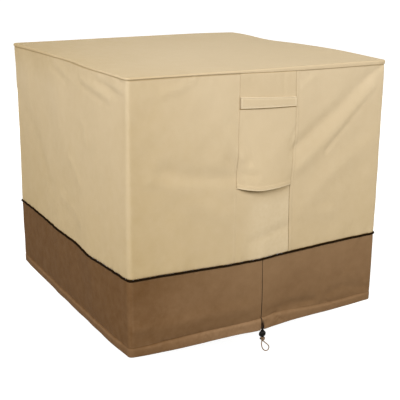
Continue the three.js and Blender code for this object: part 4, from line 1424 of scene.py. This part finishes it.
def cloth(name, colours, pitch, shading=KHAKI_SHADING, roughness=0.85, sheen=0.02, specular=0.12):
    """A woven cloth; its colours are the deep and the pale end of the painted shading and the uneven dye, the
    light one of uneven dye, wear and painted highlight, and the dark one of painted shade.
    """
    material, tree, shader = new_material(name)
    deep, pale, wear_and_highlight, shade_colour = (linear(*colour) for colour in colours)
    on_cloth = node(tree, "UVMap", uv_map="UVMap").outputs["UV"]
    in_space = node(tree, "TexCoord").outputs["Object"]
    worn_and_lit, painted_shade = (node(tree, "Attribute", attribute_name=label).outputs["Fac"] for label in ("worn_and_lit", "painted_shade"))
    broad_dye, fine_dye = (grouped(tree, dye, Place=in_space, Scale=scale) for scale in (BROAD_DYE, FINE_DYE))
    colour = blend(tree, grouped(tree, painted_shading, Place=in_space, Dye=broad_dye, **shading), deep, pale)
    colour = blend(tree, maths(tree, "MULTIPLY", fine_dye, FINE_DYE_SHARE), colour, wear_and_highlight)
    colour = blend(tree, grouped(tree, worn_lit_crests, Place=in_space, Rub=worn_and_lit, Amount=CREST_WEAR_AND_HIGHLIGHT), colour, wear_and_highlight)
    threads = grouped(tree, weave, Place=on_cloth, Pitch=pitch)
    soft = bump(tree, grouped(tree, crumple, Place=in_space, Scale=CRUMPLE_SCALE), CRUMPLE_HEIGHT)
    feed(tree, shader, {
        "Base Color": blend(tree, painted_shade, colour, shade_colour),
        "Roughness": maths(tree, "MULTIPLY_ADD", broad_dye, 0.08, roughness - 0.04),
        "Normal": bump(tree, threads, WEAVE_HEIGHT, Normal=soft),
        "Sheen Weight": sheen, "Sheen Roughness": 0.45, "Specular IOR Level": specular,
    })
    return material


khaki = cloth("khaki_cloth", [(182, 157, 112), (208, 187, 153), (224, 206, 174), (140, 104, 30)], 0.0009)
brown = cloth("brown_cloth", [(102, 71, 39), (162, 131, 97), (176, 142, 108), (30, 19, 10)], 0.0009, BROWN_SHADING)
piping_cloth = cloth("piping_cloth", [(27, 16, 5), (33, 21, 8), (52, 36, 20), (14, 9, 4)], 0.0007,
                     sheen=0, specular=0.03)
cord_cloth = cloth("cord_cloth", [(146, 116, 86), (146, 116, 86), (178, 150, 118), (40, 24, 12)], 0.0005,
                   roughness=0.9)
thread = cloth("thread", [(180, 156, 116), (206, 186, 152), (226, 208, 176), (140, 104, 30)], 0.0003)
dark_thread = cloth("dark_thread", [(90, 64, 40), (150, 116, 82), (146, 116, 88), (18, 12, 8)], 0.0003,
                    BROWN_SHADING)
print(len(bpy.data.materials), "materials")

# %% [markdown]
# ## The moulded plastic
#
# The lock is black plastic with a fine moulded grain. It is matt, with a soft highlight, and its grain is a
# small noise in the bump.

# %% Plastic material
GRAIN_HEIGHT = 0.00008
plastic, tree, shader = new_material("lock_plastic")
in_space = node(tree, "TexCoord").outputs["Object"]
scuffs = grouped(tree, dye, Place=in_space, Scale=160.0)
feed(tree, shader, {
    "Base Color": blend(tree, scuffs, (0.004, 0.0035, 0.003, 1), (0.008, 0.007, 0.006, 1)),
    "Roughness": maths(tree, "MULTIPLY_ADD", scuffs, 0.15, 0.42),
    "Normal": bump(tree, noise(tree, in_space, 1600.0, 2.0), GRAIN_HEIGHT),
    "Specular IOR Level": 0.15,
})
print("the plastic's grain is", round(GRAIN_HEIGHT / MM, 2), "mm high")

# %% [markdown]
# ## Floor and light
#
# The floor is one pale plane, wide enough to fill the view. The light is that of a small studio: a dim, warm
# room, the main lamp high up off the near corner, one in front to the right, one at the left, and two low ones
# for the sides that face away. The floor and the room look white, as paper would that is lit for itself, but
# send little light back: a Light Path node tells the rays that carry light from those that make the picture.

# %% Floor, room and lamps
FLOOR_Z = -0.866
FLOOR_SIZE = 160
WHITE = (1, 1, 1, 1)
WARM_ROOM = (1, 0.965, 0.8, 1)
ROOM_LIGHT, ROOM_SEEN = 0.44, 1.0
FLOOR_SEEN = 0.95
bpy.ops.mesh.primitive_plane_add(size=FLOOR_SIZE, location=(0, 0, FLOOR_Z))
floor = bpy.context.object
floor.name = "floor"
bpy.ops.object.transform_apply(location=True, rotation=False, scale=False)
paper, tree, shader = new_material("pale_floor")
seen = node(tree, "LightPath").outputs["Is Camera Ray"]
feed(tree, shader, {
    "Base Color": (0.3, 0.3, 0.3, 1), "Roughness": 0.9, "Specular IOR Level": 0.1,
    "Emission Color": WHITE, "Emission Strength": maths(tree, "MULTIPLY", seen, FLOOR_SEEN),
})
floor.data.materials.append(paper)

world = bpy.data.worlds.new("room")
world.use_nodes = True
tree = world.node_tree
seen = node(tree, "LightPath").outputs["Is Camera Ray"]
feed(tree, tree.nodes["Background"], {
    "Color": blend(tree, seen, WARM_ROOM, WHITE),
    "Strength": maths(tree, "MULTIPLY_ADD", seen, ROOM_SEEN - ROOM_LIGHT, ROOM_LIGHT),
})
bpy.context.scene.world = world

# Each lamp's name, place, aim, size, power and colour
LAMPS = [
    ("corner_lamp", (-2.9, -3.1, 2.9), (-0.1, -0.1, -0.3), 2.0, 160, (0.97, 1.0, 1.1)),
    ("front_lamp", (1.7, -4.5, 1.6), (0, -0.3, -0.4), 2.2, 108, (1, 1, 1)),
    ("left_lamp", (-4.4, 0.0, 1.3), (-0.3, 0, -0.4), 2.2, 74, (1, 1, 1)),
    ("back_lamp", (1.2, 4.4, 0.1), (0, 0.3, -0.4), 2.0, 90, (1, 1, 1)),
    ("right_lamp", (4.4, 1.4, 0.1), (0.3, 0, -0.4), 2.0, 60, (1, 1, 1)),
]
for name, place, aim, size, power, colour in LAMPS:
    bpy.ops.object.light_add(type="AREA", location=place)
    lamp = bpy.context.object
    lamp.name = name
    lamp.rotation_euler = (Vector(aim) - Vector(place)).to_track_quat("-Z", "Y").to_euler()
    lamp.data.shape, lamp.data.size, lamp.data.energy, lamp.data.color = "SQUARE", size, power, colour
view = bpy.context.scene.view_settings
view.view_transform, view.look, view.exposure, view.gamma = "Standard", "None", 0, 1
bpy.ops.object.select_all(action="DESELECT")
print(len(LAMPS), "lamps")

# %% [markdown]
# ## Who is what
#
# Every piece rides on the one body, takes its material, and stands in for its solids, which are hidden.

PIECES = [
    (top_panel, khaki, "khaki_cloth", ["top_panel", "lip_strip"]),
    (wall_band, khaki, "khaki_cloth", ["wall_band"]),
    (vent_strip, khaki, "khaki_cloth", ["vent_strip"]),
    (vent_flap, khaki, "khaki_cloth", ["vent_flap"]),
    (handle_strap, khaki, "khaki_cloth", ["handle_strap"]),
    (piping, piping_cloth, "piping_cloth", ["piping"]),
    (skirt, brown, "brown_cloth", ["skirt"]),
    (draw_cord, cord_cloth, "cord", ["cord_neck_left", "cord_neck_right", "cord_loop"]),
    (knot_upper, cord_cloth, "cord", ["cord_knot"]),
    (knot_lower, cord_cloth, "cord", ["cord_knot"]),
    (ball, plastic, "lock_plastic", ["cord_lock"]),
    (plunger, plastic, "lock_plastic", ["cord_lock"]),
    (lip_stitches, thread, "khaki_cloth", []),
    (wall_stitches, thread, "khaki_cloth", []),
    (hood_stitches, thread, "khaki_cloth", []),
    (strap_stitches, thread, "khaki_cloth", []),
    (skirt_stitches, dark_thread, "brown_cloth", []),
]
for piece, material, slot, nodes in PIECES:
    piece.data.materials.clear()
    piece.data.materials.append(material)
    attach(piece, "root")
    if nodes:
        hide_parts(*nodes)
